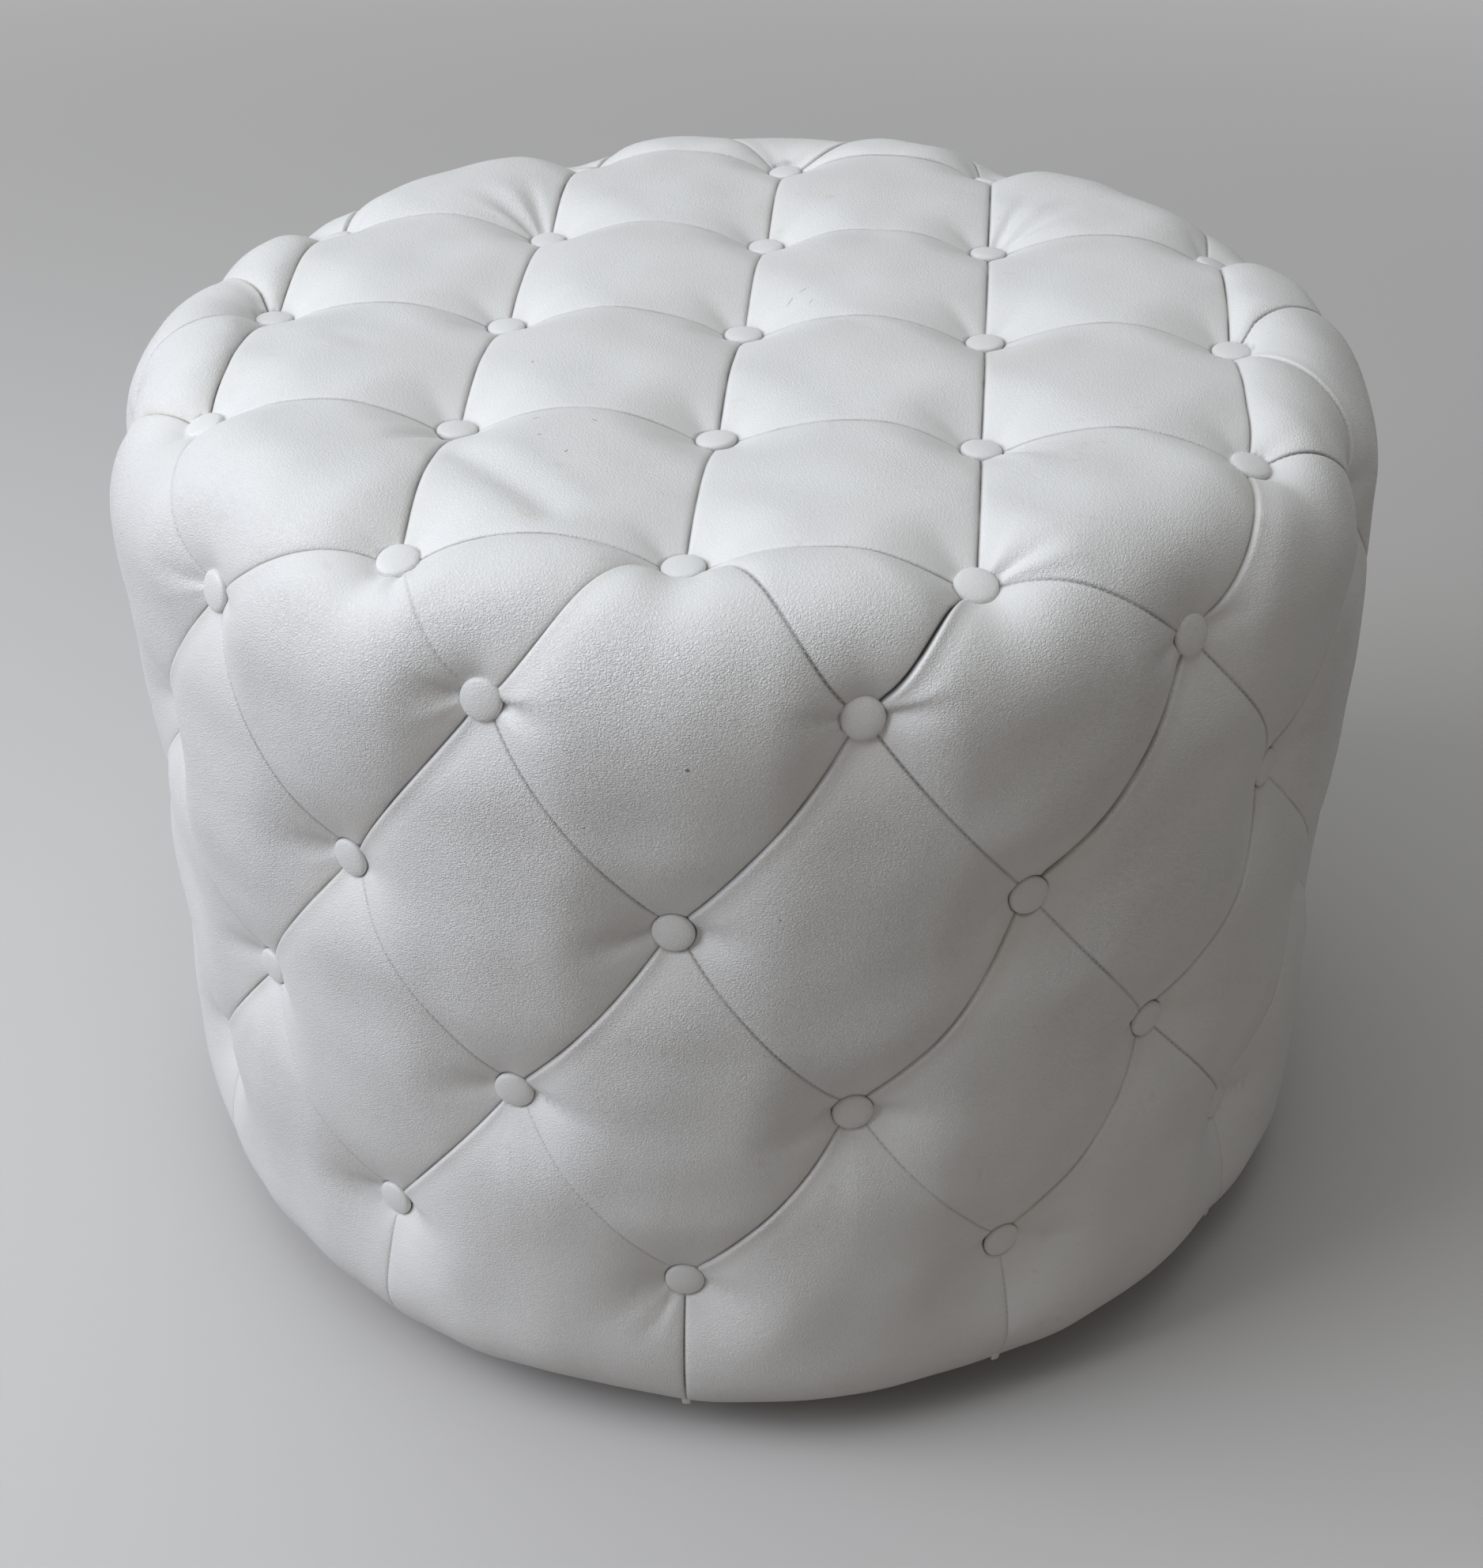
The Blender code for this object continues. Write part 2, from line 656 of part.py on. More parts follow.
def build_screws(name, parent, steel, face, up):
    # Pan-head screws; the shank runs through the plate into the wood
    profile = [(0, SCREW_LENGTH), (SCREW_RADIUS, SCREW_LENGTH - SCREW_RADIUS),
               (SCREW_RADIUS, -GAP), (SCREW_HEAD_RADIUS, -GAP),
               (SCREW_HEAD_RADIUS, -GAP - SCREW_HEAD_THICKNESS * SCREW_HEAD_CHAMFER),
               (SCREW_HEAD_RADIUS * SCREW_HEAD_CHAMFER, -GAP - SCREW_HEAD_THICKNESS),
               (0, -GAP - SCREW_HEAD_THICKNESS)]
    if not up:
        profile = [(radius, -height) for radius, height in profile[::-1]]
    for number, (x, y) in enumerate(screw_places(), 1):
        add_turned(f"{name}_{number}", profile, steel, parent, SMALL_SIDES, (x, y, face))


def build_pin(root, steel):
    # The pin's two heads hold the plates together; the lower head lies in the base disc's recess
    low = LOWER_PLATE_BOTTOM - GAP - PIN_HEAD_THICKNESS
    high = UPPER_PLATE_TOP + GAP + PIN_HEAD_THICKNESS
    profile = [(0, high), (PIN_HEAD_RADIUS, high), (PIN_HEAD_RADIUS, high - PIN_HEAD_THICKNESS),
               (PIN_RADIUS, high - PIN_HEAD_THICKNESS), (PIN_RADIUS, low + PIN_HEAD_THICKNESS),
               (PIN_HEAD_RADIUS, low + PIN_HEAD_THICKNESS), (PIN_HEAD_RADIUS, low), (0, low)]
    add_turned("centre_pin", profile, steel, root, PIN_SIDES)


# Base

def build_base(root, wood, plastic, steel):
    bm = bmesh.new()
    bmesh.ops.create_cone(bm, cap_ends=True, segments=ROUND_SIDES, depth=BASE_THICKNESS,
                          radius1=BASE_RADIUS, radius2=BASE_RADIUS)
    bmesh.ops.translate(bm, verts=bm.verts, vec=(0, 0, BASE_BOTTOM + BASE_THICKNESS / 2))
    rims = [edge for edge in bm.edges if len({round(vert.co.z, 6) for vert in edge.verts}) == 1]
    bmesh.ops.bevel(bm, geom=rims, offset=BASE_EDGE, segments=1, affect="EDGES")
    base = add_object("base_disc", bm, wood, root)
    cut(base, screw_pilots("base_screw_holes", BASE_TOP, up=False))
    cut(base, nail_pilots())
    recess_depth = PIN_HEAD_THICKNESS + GAP
    recess = disc_profile(PIN_HEAD_RADIUS + GAP, BASE_TOP - recess_depth, BASE_TOP + recess_depth)
    cut(base, add_turned_cutter("base_pin_recess", recess, INNER_SIDES))
    for number, place in enumerate(glide_places(), 1):
        add_turned(f"glide_{number}", glide_profile(), plastic, root, PIN_SIDES, place)


def glide_places():
    step = 2 * math.pi / GLIDE_COUNT
    return [polar(GLIDE_CIRCLE, (index + 0.5) * step, 0) for index in range(GLIDE_COUNT)]


def glide_profile():
    # Nail-on glide: a domed plastic foot with a flat sole, and its nail in the base disc
    return [(0, GLIDE_HEIGHT + GLIDE_NAIL_LENGTH),
            (GLIDE_NAIL_RADIUS, GLIDE_HEIGHT + GLIDE_NAIL_LENGTH - GLIDE_NAIL_RADIUS),
            (GLIDE_NAIL_RADIUS, GLIDE_HEIGHT),
            (GLIDE_RADIUS, GLIDE_HEIGHT),
            (GLIDE_RADIUS, GLIDE_HEIGHT * GLIDE_RIM_SHARE),
            (GLIDE_RADIUS * GLIDE_SOLE_SHARE, 0),
            (0, 0)]


def nail_pilots():
    holes = bmesh.new()
    depth = GLIDE_NAIL_LENGTH + GAP
    for place in glide_places():
        made = bmesh.ops.create_cone(holes, cap_ends=True, segments=SMALL_SIDES, depth=depth + GAP,
                                     radius1=GLIDE_NAIL_RADIUS + GAP, radius2=GLIDE_NAIL_RADIUS + GAP)
        middle = place + Vector((0, 0, BASE_BOTTOM - GAP + (depth + GAP) / 2))
        bmesh.ops.translate(holes, verts=made["verts"], vec=middle)
    return add_cutter("glide_nail_holes", holes)


def build_stool():
    start_collections()
    leather = make_material("white_leatherette", (0.80, 0.81, 0.80), 0.48)
    covered = make_material("button_leatherette", (0.78, 0.79, 0.78), 0.45)
    foam = make_material("seat_foam", (0.86, 0.80, 0.60), 0.95)
    plywood = make_material("plywood", (0.55, 0.40, 0.24), 0.70)
    black_board = make_material("black_board", (0.03, 0.03, 0.03), 0.60)
    steel = make_material("zinc_steel", (0.62, 0.63, 0.65), 0.35, 1.0)
    plastic = make_material("black_plastic", (0.02, 0.02, 0.02), 0.50)
    dust_cloth = make_material("dust_cloth", (0.04, 0.04, 0.045), 0.90)

    axes = []
    for name in ("base_axis", "ball_ring_axis", "seat_axis"):
        axis = bpy.data.objects.new(name, None)
        collection.objects.link(axis)
        axes.append(axis)
    root, middle, seat = axes

    build_base(root, black_board, plastic, steel)
    build_plates(root, seat, steel)
    build_pin(root, steel)
    build_screws("lower_screw", root, steel, LOWER_PLATE_TOP, up=False)
    build_ball_ring(middle, steel)
    build_screws("upper_screw", seat, steel, UPPER_PLATE_BOTTOM, up=True)
    build_frame(seat, plywood, dust_cloth)
    build_padding(seat, foam)
    build_cover(seat, leather)
    build_single_buttons(seat, covered)
    for name, row in (("upper_button_row", 1), ("middle_button_row", 2), ("lower_button_row", 3)):
        build_button_row(name, row, seat, covered)


build_stool()
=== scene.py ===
import json
import math
import random

import bmesh
import bpy
import numpy as np
from mathutils import Matrix, Vector


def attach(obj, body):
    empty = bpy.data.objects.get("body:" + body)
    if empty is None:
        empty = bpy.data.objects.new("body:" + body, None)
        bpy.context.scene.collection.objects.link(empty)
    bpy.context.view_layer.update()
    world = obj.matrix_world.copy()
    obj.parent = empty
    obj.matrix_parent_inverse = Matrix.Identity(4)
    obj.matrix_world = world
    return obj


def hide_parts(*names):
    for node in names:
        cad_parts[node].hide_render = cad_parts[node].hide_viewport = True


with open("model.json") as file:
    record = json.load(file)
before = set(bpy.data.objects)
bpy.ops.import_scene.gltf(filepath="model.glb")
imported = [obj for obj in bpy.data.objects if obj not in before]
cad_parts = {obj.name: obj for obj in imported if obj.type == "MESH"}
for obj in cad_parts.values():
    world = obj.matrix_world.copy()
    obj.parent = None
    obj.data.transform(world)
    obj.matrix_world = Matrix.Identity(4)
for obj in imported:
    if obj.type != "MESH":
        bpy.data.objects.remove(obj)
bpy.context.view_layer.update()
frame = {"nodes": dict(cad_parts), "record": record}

scene = bpy.context.scene
print("frame loaded:", len(frame["nodes"]), "nodes")


def linkObject(name, data):
    obj = bpy.data.objects.new(name, data)
    scene.collection.objects.link(obj)
    return obj


# Camera at the height and distance of somebody standing just in front of the stool
camera = {"place": (0.1048, -0.9853, 0.8557), "turn": 0.109, "pitch": 0.60056, "roll": -0.00992,
          "lens": 51.08, "sensor": 36.0, "near": 0.01, "far": 50}

cameraData = bpy.data.cameras.new("standing_view")
cameraData.lens = camera["lens"]
cameraData.sensor_width = camera["sensor"]
cameraData.clip_start = camera["near"]
cameraData.clip_end = camera["far"]
scene.camera = linkObject("standing_view", cameraData)
tilted = Matrix.Rotation(camera["turn"], 4, "Z") @ Matrix.Rotation(math.pi / 2 - camera["pitch"], 4, "X")
tilted = tilted @ Matrix.Rotation(camera["roll"], 4, "Z")
scene.camera.matrix_world = Matrix.Translation(camera["place"]) @ tilted


# Small helpers for the node materials

def feed(tree, socket, value):
    if isinstance(value, bpy.types.NodeSocket):
        tree.links.new(value, socket)
    else:
        socket.default_value = value


def addNode(tree, kind, inputs=None, **settings):
    node = tree.nodes.new("ShaderNode" + kind)
    for setting, value in settings.items():
        setattr(node, setting, value)
    for socket, value in (inputs or {}).items():
        feed(tree, node.inputs[socket], value)
    return node


def newMaterial(name):
    material = bpy.data.materials.new(name)
    material.use_nodes = True
    tree = material.node_tree
    return material, tree, addNode(tree, "TexCoord").outputs["Object"]


def maths(tree, operation, first, second=0.0):
    return addNode(tree, "Math", {0: first, 1: second}, operation=operation).outputs[0]


def vectorMaths(tree, operation, first, second=(0.0, 0.0, 0.0)):
    node = addNode(tree, "VectorMath", {0: first, 1: second}, operation=operation)
    return node.outputs["Value" if operation == "LENGTH" else "Vector"]


def remap(tree, value, low, high, toLow=0.0, toHigh=1.0):
    inputs = {"Value": value, "From Min": low, "From Max": high, "To Min": toLow, "To Max": toHigh}
    return addNode(tree, "MapRange", inputs).outputs["Result"]


def mix(tree, share, first, second):
    node = addNode(tree, "Mix", {"Factor": share}, data_type="RGBA")
    for index, value in ((6, first), (7, second)):
        feed(tree, node.inputs[index], (*value, 1.0) if isinstance(value, tuple) else value)
    return node.outputs[2]


def noise(tree, place, scale, detail=2.0, roughness=0.5):
    inputs = {"Vector": place, "Scale": scale, "Detail": detail, "Roughness": roughness}
    return addNode(tree, "TexNoise", inputs).outputs["Fac"]


def patches(tree, place, scale, detail, low=0.3, high=0.7, toLow=0.0, toHigh=1.0, roughness=0.5):
    return remap(tree, noise(tree, place, scale, detail, roughness), low, high, toLow, toHigh)


def cellsOf(tree, place, size, feature="F1"):
    inputs = {"Vector": place, "Scale": 1 / size}
    return addNode(tree, "TexVoronoi", inputs, feature=feature).outputs["Distance"]


def stretched(tree, place, scale):
    return addNode(tree, "Mapping", {"Vector": place, "Scale": scale}).outputs[0]


def upAxis(tree, vector):
    return addNode(tree, "SeparateXYZ", {"Vector": vector}).outputs["Z"]


def finishShader(tree, inputs, height, strength, depth, invert=False):
    bump = addNode(tree, "Bump", {"Height": height, "Strength": strength, "Distance": depth}, invert=invert)
    for socket, value in {**inputs, "Normal": bump.outputs["Normal"]}.items():
        feed(tree, tree.nodes["Principled BSDF"].inputs[socket], value)


# Small helpers for shapes modelled once in edit mode and copied

def startShape(addPrimitive, **settings):
    bpy.ops.object.select_all(action="DESELECT")
    addPrimitive(location=(0, 0, 0), **settings)
    bpy.ops.object.mode_set(mode="EDIT")
    return bpy.context.object


def selectFaces(obj, test):
    bpy.ops.mesh.select_all(action="DESELECT")
    bpy.ops.mesh.select_mode(type="FACE")
    editing = bmesh.from_edit_mesh(obj.data)
    for face in editing.faces:
        face.select = test(face)
    editing.select_flush(True)
    bmesh.update_edit_mesh(obj.data)


def applyModifier(obj, name, kind, **settings):
    modifier = obj.modifiers.new(name, kind)
    for setting, value in settings.items():
        setattr(modifier, setting, value)
    bpy.ops.object.select_all(action="DESELECT")
    obj.select_set(True)
    bpy.context.view_layer.objects.active = obj
    bpy.ops.object.modifier_apply(modifier=name)


def endShape(obj, smoothing=0):
    bpy.ops.object.mode_set(mode="OBJECT")
    if smoothing:
        applyModifier(obj, "rounded", "SUBSURF", levels=smoothing, render_levels=smoothing)
    shape = obj.data
    shape.shade_smooth()
    bpy.data.objects.remove(obj)
    return shape


def bevelledBox(size, bevel, segments, taper=None):
    obj = startShape(bpy.ops.mesh.primitive_cube_add, size=1)
    bpy.ops.transform.resize(value=size, center_override=(0, 0, 0))
    if taper:
        selectFaces(obj, lambda face: face.normal.z < -0.9)
        bpy.ops.transform.resize(value=taper, center_override=(0, 0, -size[2] / 2))
        bpy.ops.mesh.select_all(action="SELECT")
    bpy.ops.mesh.bevel(offset=bevel, segments=segments, affect="EDGES")
    return endShape(obj)


def placedCopy(shape, place):
    copied = shape.copy()
    copied.transform(place)
    return copied


def joinCopies(name, copies):
    joined = bmesh.new()
    for copied in copies:
        joined.from_mesh(copied)
        bpy.data.meshes.remove(copied)
    mesh = bpy.data.meshes.new(name)
    joined.to_mesh(mesh)
    joined.free()
    mesh.shade_smooth()
    return mesh


def closedMesh(name, vertices, polygons):
    # Every face of the closed shells is turned outwards
    mesh = bpy.data.meshes.new(name)
    mesh.from_pydata(vertices, [], polygons)
    shells = bmesh.new()
    shells.from_mesh(mesh)
    bmesh.ops.recalc_face_normals(shells, faces=shells.faces)
    shells.to_mesh(mesh)
    shells.free()
    mesh.shade_smooth()
    return mesh


def rotation(degrees, axis):
    return Matrix.Rotation(math.radians(degrees), 4, axis)


def dressPiece(piece, slot, material, *nodes):
    # Everything new turns with the seat
    piece.data.materials.clear()
    piece.data.materials.append(material)
    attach(piece, "seat")
    if nodes:
        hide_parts(*nodes)


# The drum's crown surface and its tufting pattern
drum = {"radius": 0.300, "crown": 0.4494, "shoulder": 0.060, "hem": 0.024, "divisions": 12,
        "gridPitch": 0.114, "gridReach": 2, "rows": (0.399, 0.299, 0.199, 0.099), "buttonBack": 0.01646}
upward = np.array((0.0, 0.0, 1.0))
divisions = drum["divisions"]


def crownPoints(guides):
    # Nearest points on the crown surface, and the direction out of it there
    flat = np.hypot(guides[:, 0], guides[:, 1])
    outward = np.zeros_like(guides)
    outward[:, :2] = guides[:, :2] / np.maximum(flat, 1e-9)[:, None]
    centreRadius = drum["radius"] - drum["shoulder"]
    centreHeight = drum["crown"] - drum["shoulder"]
    overFlat = np.maximum(flat - centreRadius, 0)[:, None]
    overHeight = np.maximum(guides[:, 2] - centreHeight, 0)[:, None]
    over = np.maximum(np.hypot(overFlat, overHeight), 1e-9)
    direction = (outward * overFlat + upward * overHeight) / over
    centre = outward * np.minimum(flat, centreRadius)[:, None]
    centre = centre + upward * np.minimum(guides[:, 2], centreHeight)[:, None]
    return centre + direction * drum["shoulder"], direction


def polar(radius, angle, height):
    # Angles run from the front, counter-clockwise seen from above
    return np.stack(np.broadcast_arrays(radius * np.sin(angle), -radius * np.cos(angle), height), -1)


def divisionAngle(place):
    return place * 2 * math.pi / divisions


def buttonAngle(row, place):
    return divisionAngle(place + (0.5 if row % 2 == 0 else 0.0))


def buttonGuide(key):
    kind, first, second = key
    if kind == "top":
        return np.array((first * drum["gridPitch"], second * drum["gridPitch"],
                         drum["crown"] - drum["buttonBack"]))
    return polar(drum["radius"] - drum["buttonBack"], buttonAngle(first, second), drum["rows"][first])


def crownAt(key):
    return [part[0] for part in crownPoints(buttonGuide(key)[None])]


def sideKey(row, place):
    return ("side", row, place % divisions)


def cornerOrTop(i, j):
    # Buttons of the shoulder row stand in for the corners of the grid
    if abs(i) == drum["gridReach"] and abs(j) == drum["gridReach"]:
        return sideKey(0, round(math.atan2(i, -j) * divisions / (2 * math.pi) - 0.5))
    return ("top", i, j)


gridSteps = range(-drum["gridReach"], drum["gridReach"] + 1)
topKeys = [("top", i, j) for j in gridSteps for i in gridSteps if abs(i) + abs(j) < 2 * drum["gridReach"]]
rim = sorted((key for key in topKeys if max(abs(key[1]), abs(key[2])) == drum["gridReach"]),
             key=lambda key: math.atan2(key[1], -key[2]) % (2 * math.pi))

# How the cover is pulled in, in metres
tuft = {"pit": 0.0146, "pitFlat": 0.0092, "topSeam": 0.0040, "sideSeam": 0.0040, "crownLift": 0.0006,
        "seamPower": 1.9, "cornerPull": 0.20, "lineStart": 0.0062, "lineFull": 0.0135, "hemInset": 0.0100,
        "hemRun": 0.030, "hemPower": 2.3, "hemReach": 0.055, "ringStart": 0.012, "ringEnd": 0.0245,
        "hemRingEnd": 0.042, "triangleReach": 0.45, "uprightReach": 0.85, "lowReach": 0.8,
        "blendDrop": 0.05, "blendSpread": 0.18}
# Distances from a button in millimetres, closest where its pocket ends
nearSteps = (0, .4, 1, 1.8, 2.8, 4, 5.6, 7.3, 8.6, 9.1, 9.8, 11, 13, 15.5, 18.5, 22, 26)
halfSteps = np.array(nearSteps + (30, 34, 38, 42, 46, 50, 53.5, 57)) / 1000
hemSteps = nearSteps + (30.5, 35, 39, 43, 47, 51, 55, 59, 63, 66.5, 69.5, 72, 73.8, 75)
hemDrops = np.array(hemSteps) / hemSteps[-1]
fixedSteps = 12  # Later steps stretch with the seam


def halfAlong(length):
    # Shares of a seam, from a button to the seam's middle
    fixed, last = halfSteps[fixedSteps], halfSteps[-1]
    spread = fixed + (halfSteps - fixed) * (length / 2 - fixed) / (last - fixed)
    return np.where(halfSteps <= fixed, halfSteps, spread) / length


def sharesAlong(length):
    half = halfAlong(length)
    return np.concatenate((half, 1 - half[-2::-1]))


def seamKind(first, second):
    if first[0] == "top" and second[0] == "top":
        return "row" if first[2] == second[2] else "column"
    if "hem" in (first[0], second[0]):
        return "vertical"
    lower, upper = sorted((buttonGuide(first), buttonGuide(second)), key=lambda guide: guide[2])
    turn = math.atan2(upper[0], -upper[1]) - math.atan2(lower[0], -lower[1])
    turn = (turn + math.pi) % (2 * math.pi) - math.pi
    return "pleat" if turn > 0 else "stitched"


# Each kind of seam: its dip as a share of the seam depth, how dark the painted shade at its bottom is, how
# wide that painted shade line is, and its grooves by depth, width and power. A pleat folds one cell's edge
# over the other's.
seamKinds = {
    "row": {"dip": 0.50, "dark": 0.95, "paintedShadeWidth": 0.00058,
            "grooves": ((0.0009, 0.0006, 2), (0.0003, 0.0025, 1))},
    "column": {"dip": 0.88, "dark": 0.90, "paintedShadeWidth": 0.00042,
               "grooves": ((0.0017, 0.0006, 1), (0.0006, 0.0025, 1))},
    "stitched": {"dip": 0.35, "dark": 0.75, "paintedShadeWidth": 0.00052,
                 "grooves": ((0.0008, 0.0005, 2), (0.0002, 0.0025, 1))},
    "vertical": {"dip": 0.45, "dark": 0.85, "paintedShadeWidth": 0.00045,
                 "grooves": ((0.0012, 0.0006, 1), (0.0004, 0.0030, 1))},
    "pleat": {"dip": 0.95, "dark": 0.95, "paintedShadeWidth": 0.00045,
              "grooves": ((0.0010, 0.0006, 1), (0.0011, 0.0050, 1)), "lip": ((0.0021, 0.00048, 2),)},
}
lipRoll = {"height": 0.00030, "start": 0.0006, "middle": 0.0019, "width": 0.0014, "dip": 0.0002,
           "dipMiddle": 0.0070, "dipWidth": 0.0034}
# How strongly the seams are drawn: the stitched ones flatter from row to row down the side, one upright
# seam gaping and the others nearly flat, and single seams that are drawn as they are
drawn = {"least": 0.75, "most": 1.25, "stitchedRows": (1.10, 0.75, 0.25), "openUpright": 0,
         "closedUpright": 0.45, "frontRow": 1.5, "otherRows": 0.8}
namedSeams = (
    (("top", 1, -2), ("side", 0, 0), 2.15), (("top", -1, -2), ("side", 0, 11), 0.32),
    (("top", -2, -1), ("side", 0, 10), 0.35), (("side", 3, 1), ("side", 2, 1), 0.55),
    (("side", 2, 1), ("side", 3, 2), 0.80), (("side", 2, 0), ("side", 3, 1), 0.45),
    (("side", 2, 0), ("side", 1, 1), 0.72), (("side", 3, 0), ("side", 2, 0), 0.80),
)


def seamName(first, second):
    return tuple(sorted((str(first), str(second))))


drawnAs = {seamName(first, second): strength for first, second, strength in namedSeams}
seamRandom = random.Random(11)
seamStrengths = {}


def seamStrength(first, second):
    name = seamName(first, second)
    if name not in seamStrengths:
        strength = drawn["least"] + (drawn["most"] - drawn["least"]) * seamRandom.random()
        kind = seamKind(first, second)
        if name in drawnAs:
            strength = drawnAs[name]
        elif kind == "vertical":
            strength *= 1.0 if first[2] == drawn["openUpright"] else drawn["closedUpright"]
        elif kind == "row":
            strength *= drawn["frontRow"] if first[2] == -drum["gridReach"] else drawn["otherRows"]
        elif kind == "stitched":
            row = min(key[1] if key[0] == "side" else 0 for key in (first, second))
            strength *= drawn["stitchedRows"][row]
        seamStrengths[name] = strength
    return seamStrengths[name]


def smooth(low, high, value):
    t = np.clip((value - low) / (high - low), 0, 1)
    return t * t * (3 - 2 * t)


def bell(value, middle, width):
    return np.exp(-((value - middle) / width) ** 2)


def seamLine(kind, lip, distance):
    onLip = lip and kind == "pleat"
    grooves = seamKinds[kind]["lip" if onLip else "grooves"]
    total = sum(depth * np.exp(-(distance / width) ** power) for depth, width, power in grooves)
    if onLip:
        raised = bell(distance, lipRoll["middle"], lipRoll["width"])
        raised = raised * (1 - bell(distance, 0, lipRoll["start"]))
        dip = bell(distance, lipRoll["dipMiddle"], lipRoll["dipWidth"])
        total = total - lipRoll["height"] * raised + lipRoll["dip"] * dip * (distance > 0)
    return total


def lineFade(share, length):
    return smooth(tuft["lineStart"], tuft["lineFull"], np.minimum(share, 1 - share) * length)


def cornerDistance(p, q, cosine):
    return np.sqrt(np.maximum(p * p + q * q + 2 * p * q * cosine, 0))


def pitPull(p, q, lengthP, lengthQ, cosine):
    # 1 under the button at a cell's corner, 0 from halfway along its two seams
    reachSum = p + q
    distance = cornerDistance(p, q, cosine)
    safe = np.maximum(reachSum, 1e-9)
    diagonal = 4 * p * q / safe ** 2
    reach = np.where(reachSum < 1e-7, lengthP, (p * lengthP + q * lengthQ) / safe) / 2
    reach = reach * (1 - tuft["cornerPull"] * diagonal)
    flat = tuft["pitFlat"]
    return np.where(distance < flat, 1.0, np.clip((reach - distance) / (reach - flat), 0, 1) ** 2)


def ringFactor(p, q, cosine, ringEnd=tuft["ringEnd"]):
    # Turns the grid lines round a button into circles
    widest = np.maximum(p, q)
    distance = cornerDistance(p, q, cosine)
    whole = 1 - smooth(tuft["ringStart"], ringEnd, widest)
    return 1 + whole * (widest / np.maximum(distance, 1e-9) - 1) * (distance > 1e-8)


def seamDip(distance, reach):
    return np.clip(1 - distance / reach, 0, 1) ** tuft["seamPower"]


def seamBeside(first, second, distance, reach, along, length, lip=False):
    # What a seam between two buttons does to the cell beside it
    kind, strength = seamKind(first, second), seamStrength(first, second)
    line = strength * seamLine(kind, lip, distance) * lineFade(along, length)
    return {"kind": kind, "strength": strength, "distance": distance, "dip": seamDip(distance, reach),
            "weight": seamKinds[kind]["dip"], "line": line}


def cellLayers(guides, pulls, seams):
    # Depth, nearness to a seam, pull of the buttons and the painted shade of a cell's points along its seam
    # bottoms
    pull = np.clip(sum(pulls), 0, 1)
    near = 1 - math.prod(1 - seam["dip"] for seam in seams)
    # Painted shade: darker along each seam's bottom, where shade falls in the groove
    shade = sum(seamKinds[seam["kind"]]["dark"] * seam["strength"]
                * bell(seam["distance"], 0, seamKinds[seam["kind"]]["paintedShadeWidth"]) for seam in seams)
    flatness = crownPoints(guides.reshape(-1, 3))[1][:, 2].reshape(near.shape)
    deep = tuft["sideSeam"] + (tuft["topSeam"] - tuft["sideSeam"]) * smooth(0.2, 0.95, flatness)
    # On a seam the share is that seam's own; between seams it blends by nearness
    closeness = [1 / (seam["distance"] + 1e-6) ** 2 for seam in seams]
    share = sum(close * seam["weight"] for close, seam in zip(closeness, seams)) / sum(closeness)
    body = deep * share * near - tuft["crownLift"] * (1 - near) * (1 - pull)
    depth = body * (1 - pull) + tuft["pit"] * pull + sum(seam["line"] for seam in seams)
    return depth, near * share, pull, np.minimum(shade, 1)


layers = {"guides": [], "depth": [], "near": [], "pull": [], "shade": []}
faces = []
seamPaths = {}


def addGrid(guides, values, flip=False):
    rows, columns = values[0].shape
    index = sum(len(part) for part in layers["depth"]) + np.arange(rows * columns).reshape(rows, columns)
    for name, value in zip(layers, (guides.reshape(-1, 3), *(value.ravel() for value in values))):
        layers[name].append(value)
    quads = np.stack((index[:-1, :-1], index[:-1, 1:], index[1:, 1:], index[1:, :-1]), -1).reshape(-1, 4)
    faces.append(quads[:, ::-1] if flip else quads)
    return index


def keepPath(first, second, kind, path):
    seamPaths.setdefault(seamName(first, second), (kind, path))


def cornerCosine(corner, first, second):
    a, b = first - corner, second - corner
    return float(np.dot(a, b) / (np.linalg.norm(a) * np.linalg.norm(b)))


def betweenCorners(s, t, corners):
    one, two, three, four = corners
    return (((1 - s) * (1 - t))[..., None] * one + (s * (1 - t))[..., None] * two
            + (s * t)[..., None] * three + ((1 - s) * t)[..., None] * four)


def flipped(share, flip):
    return 1 - share if flip else share


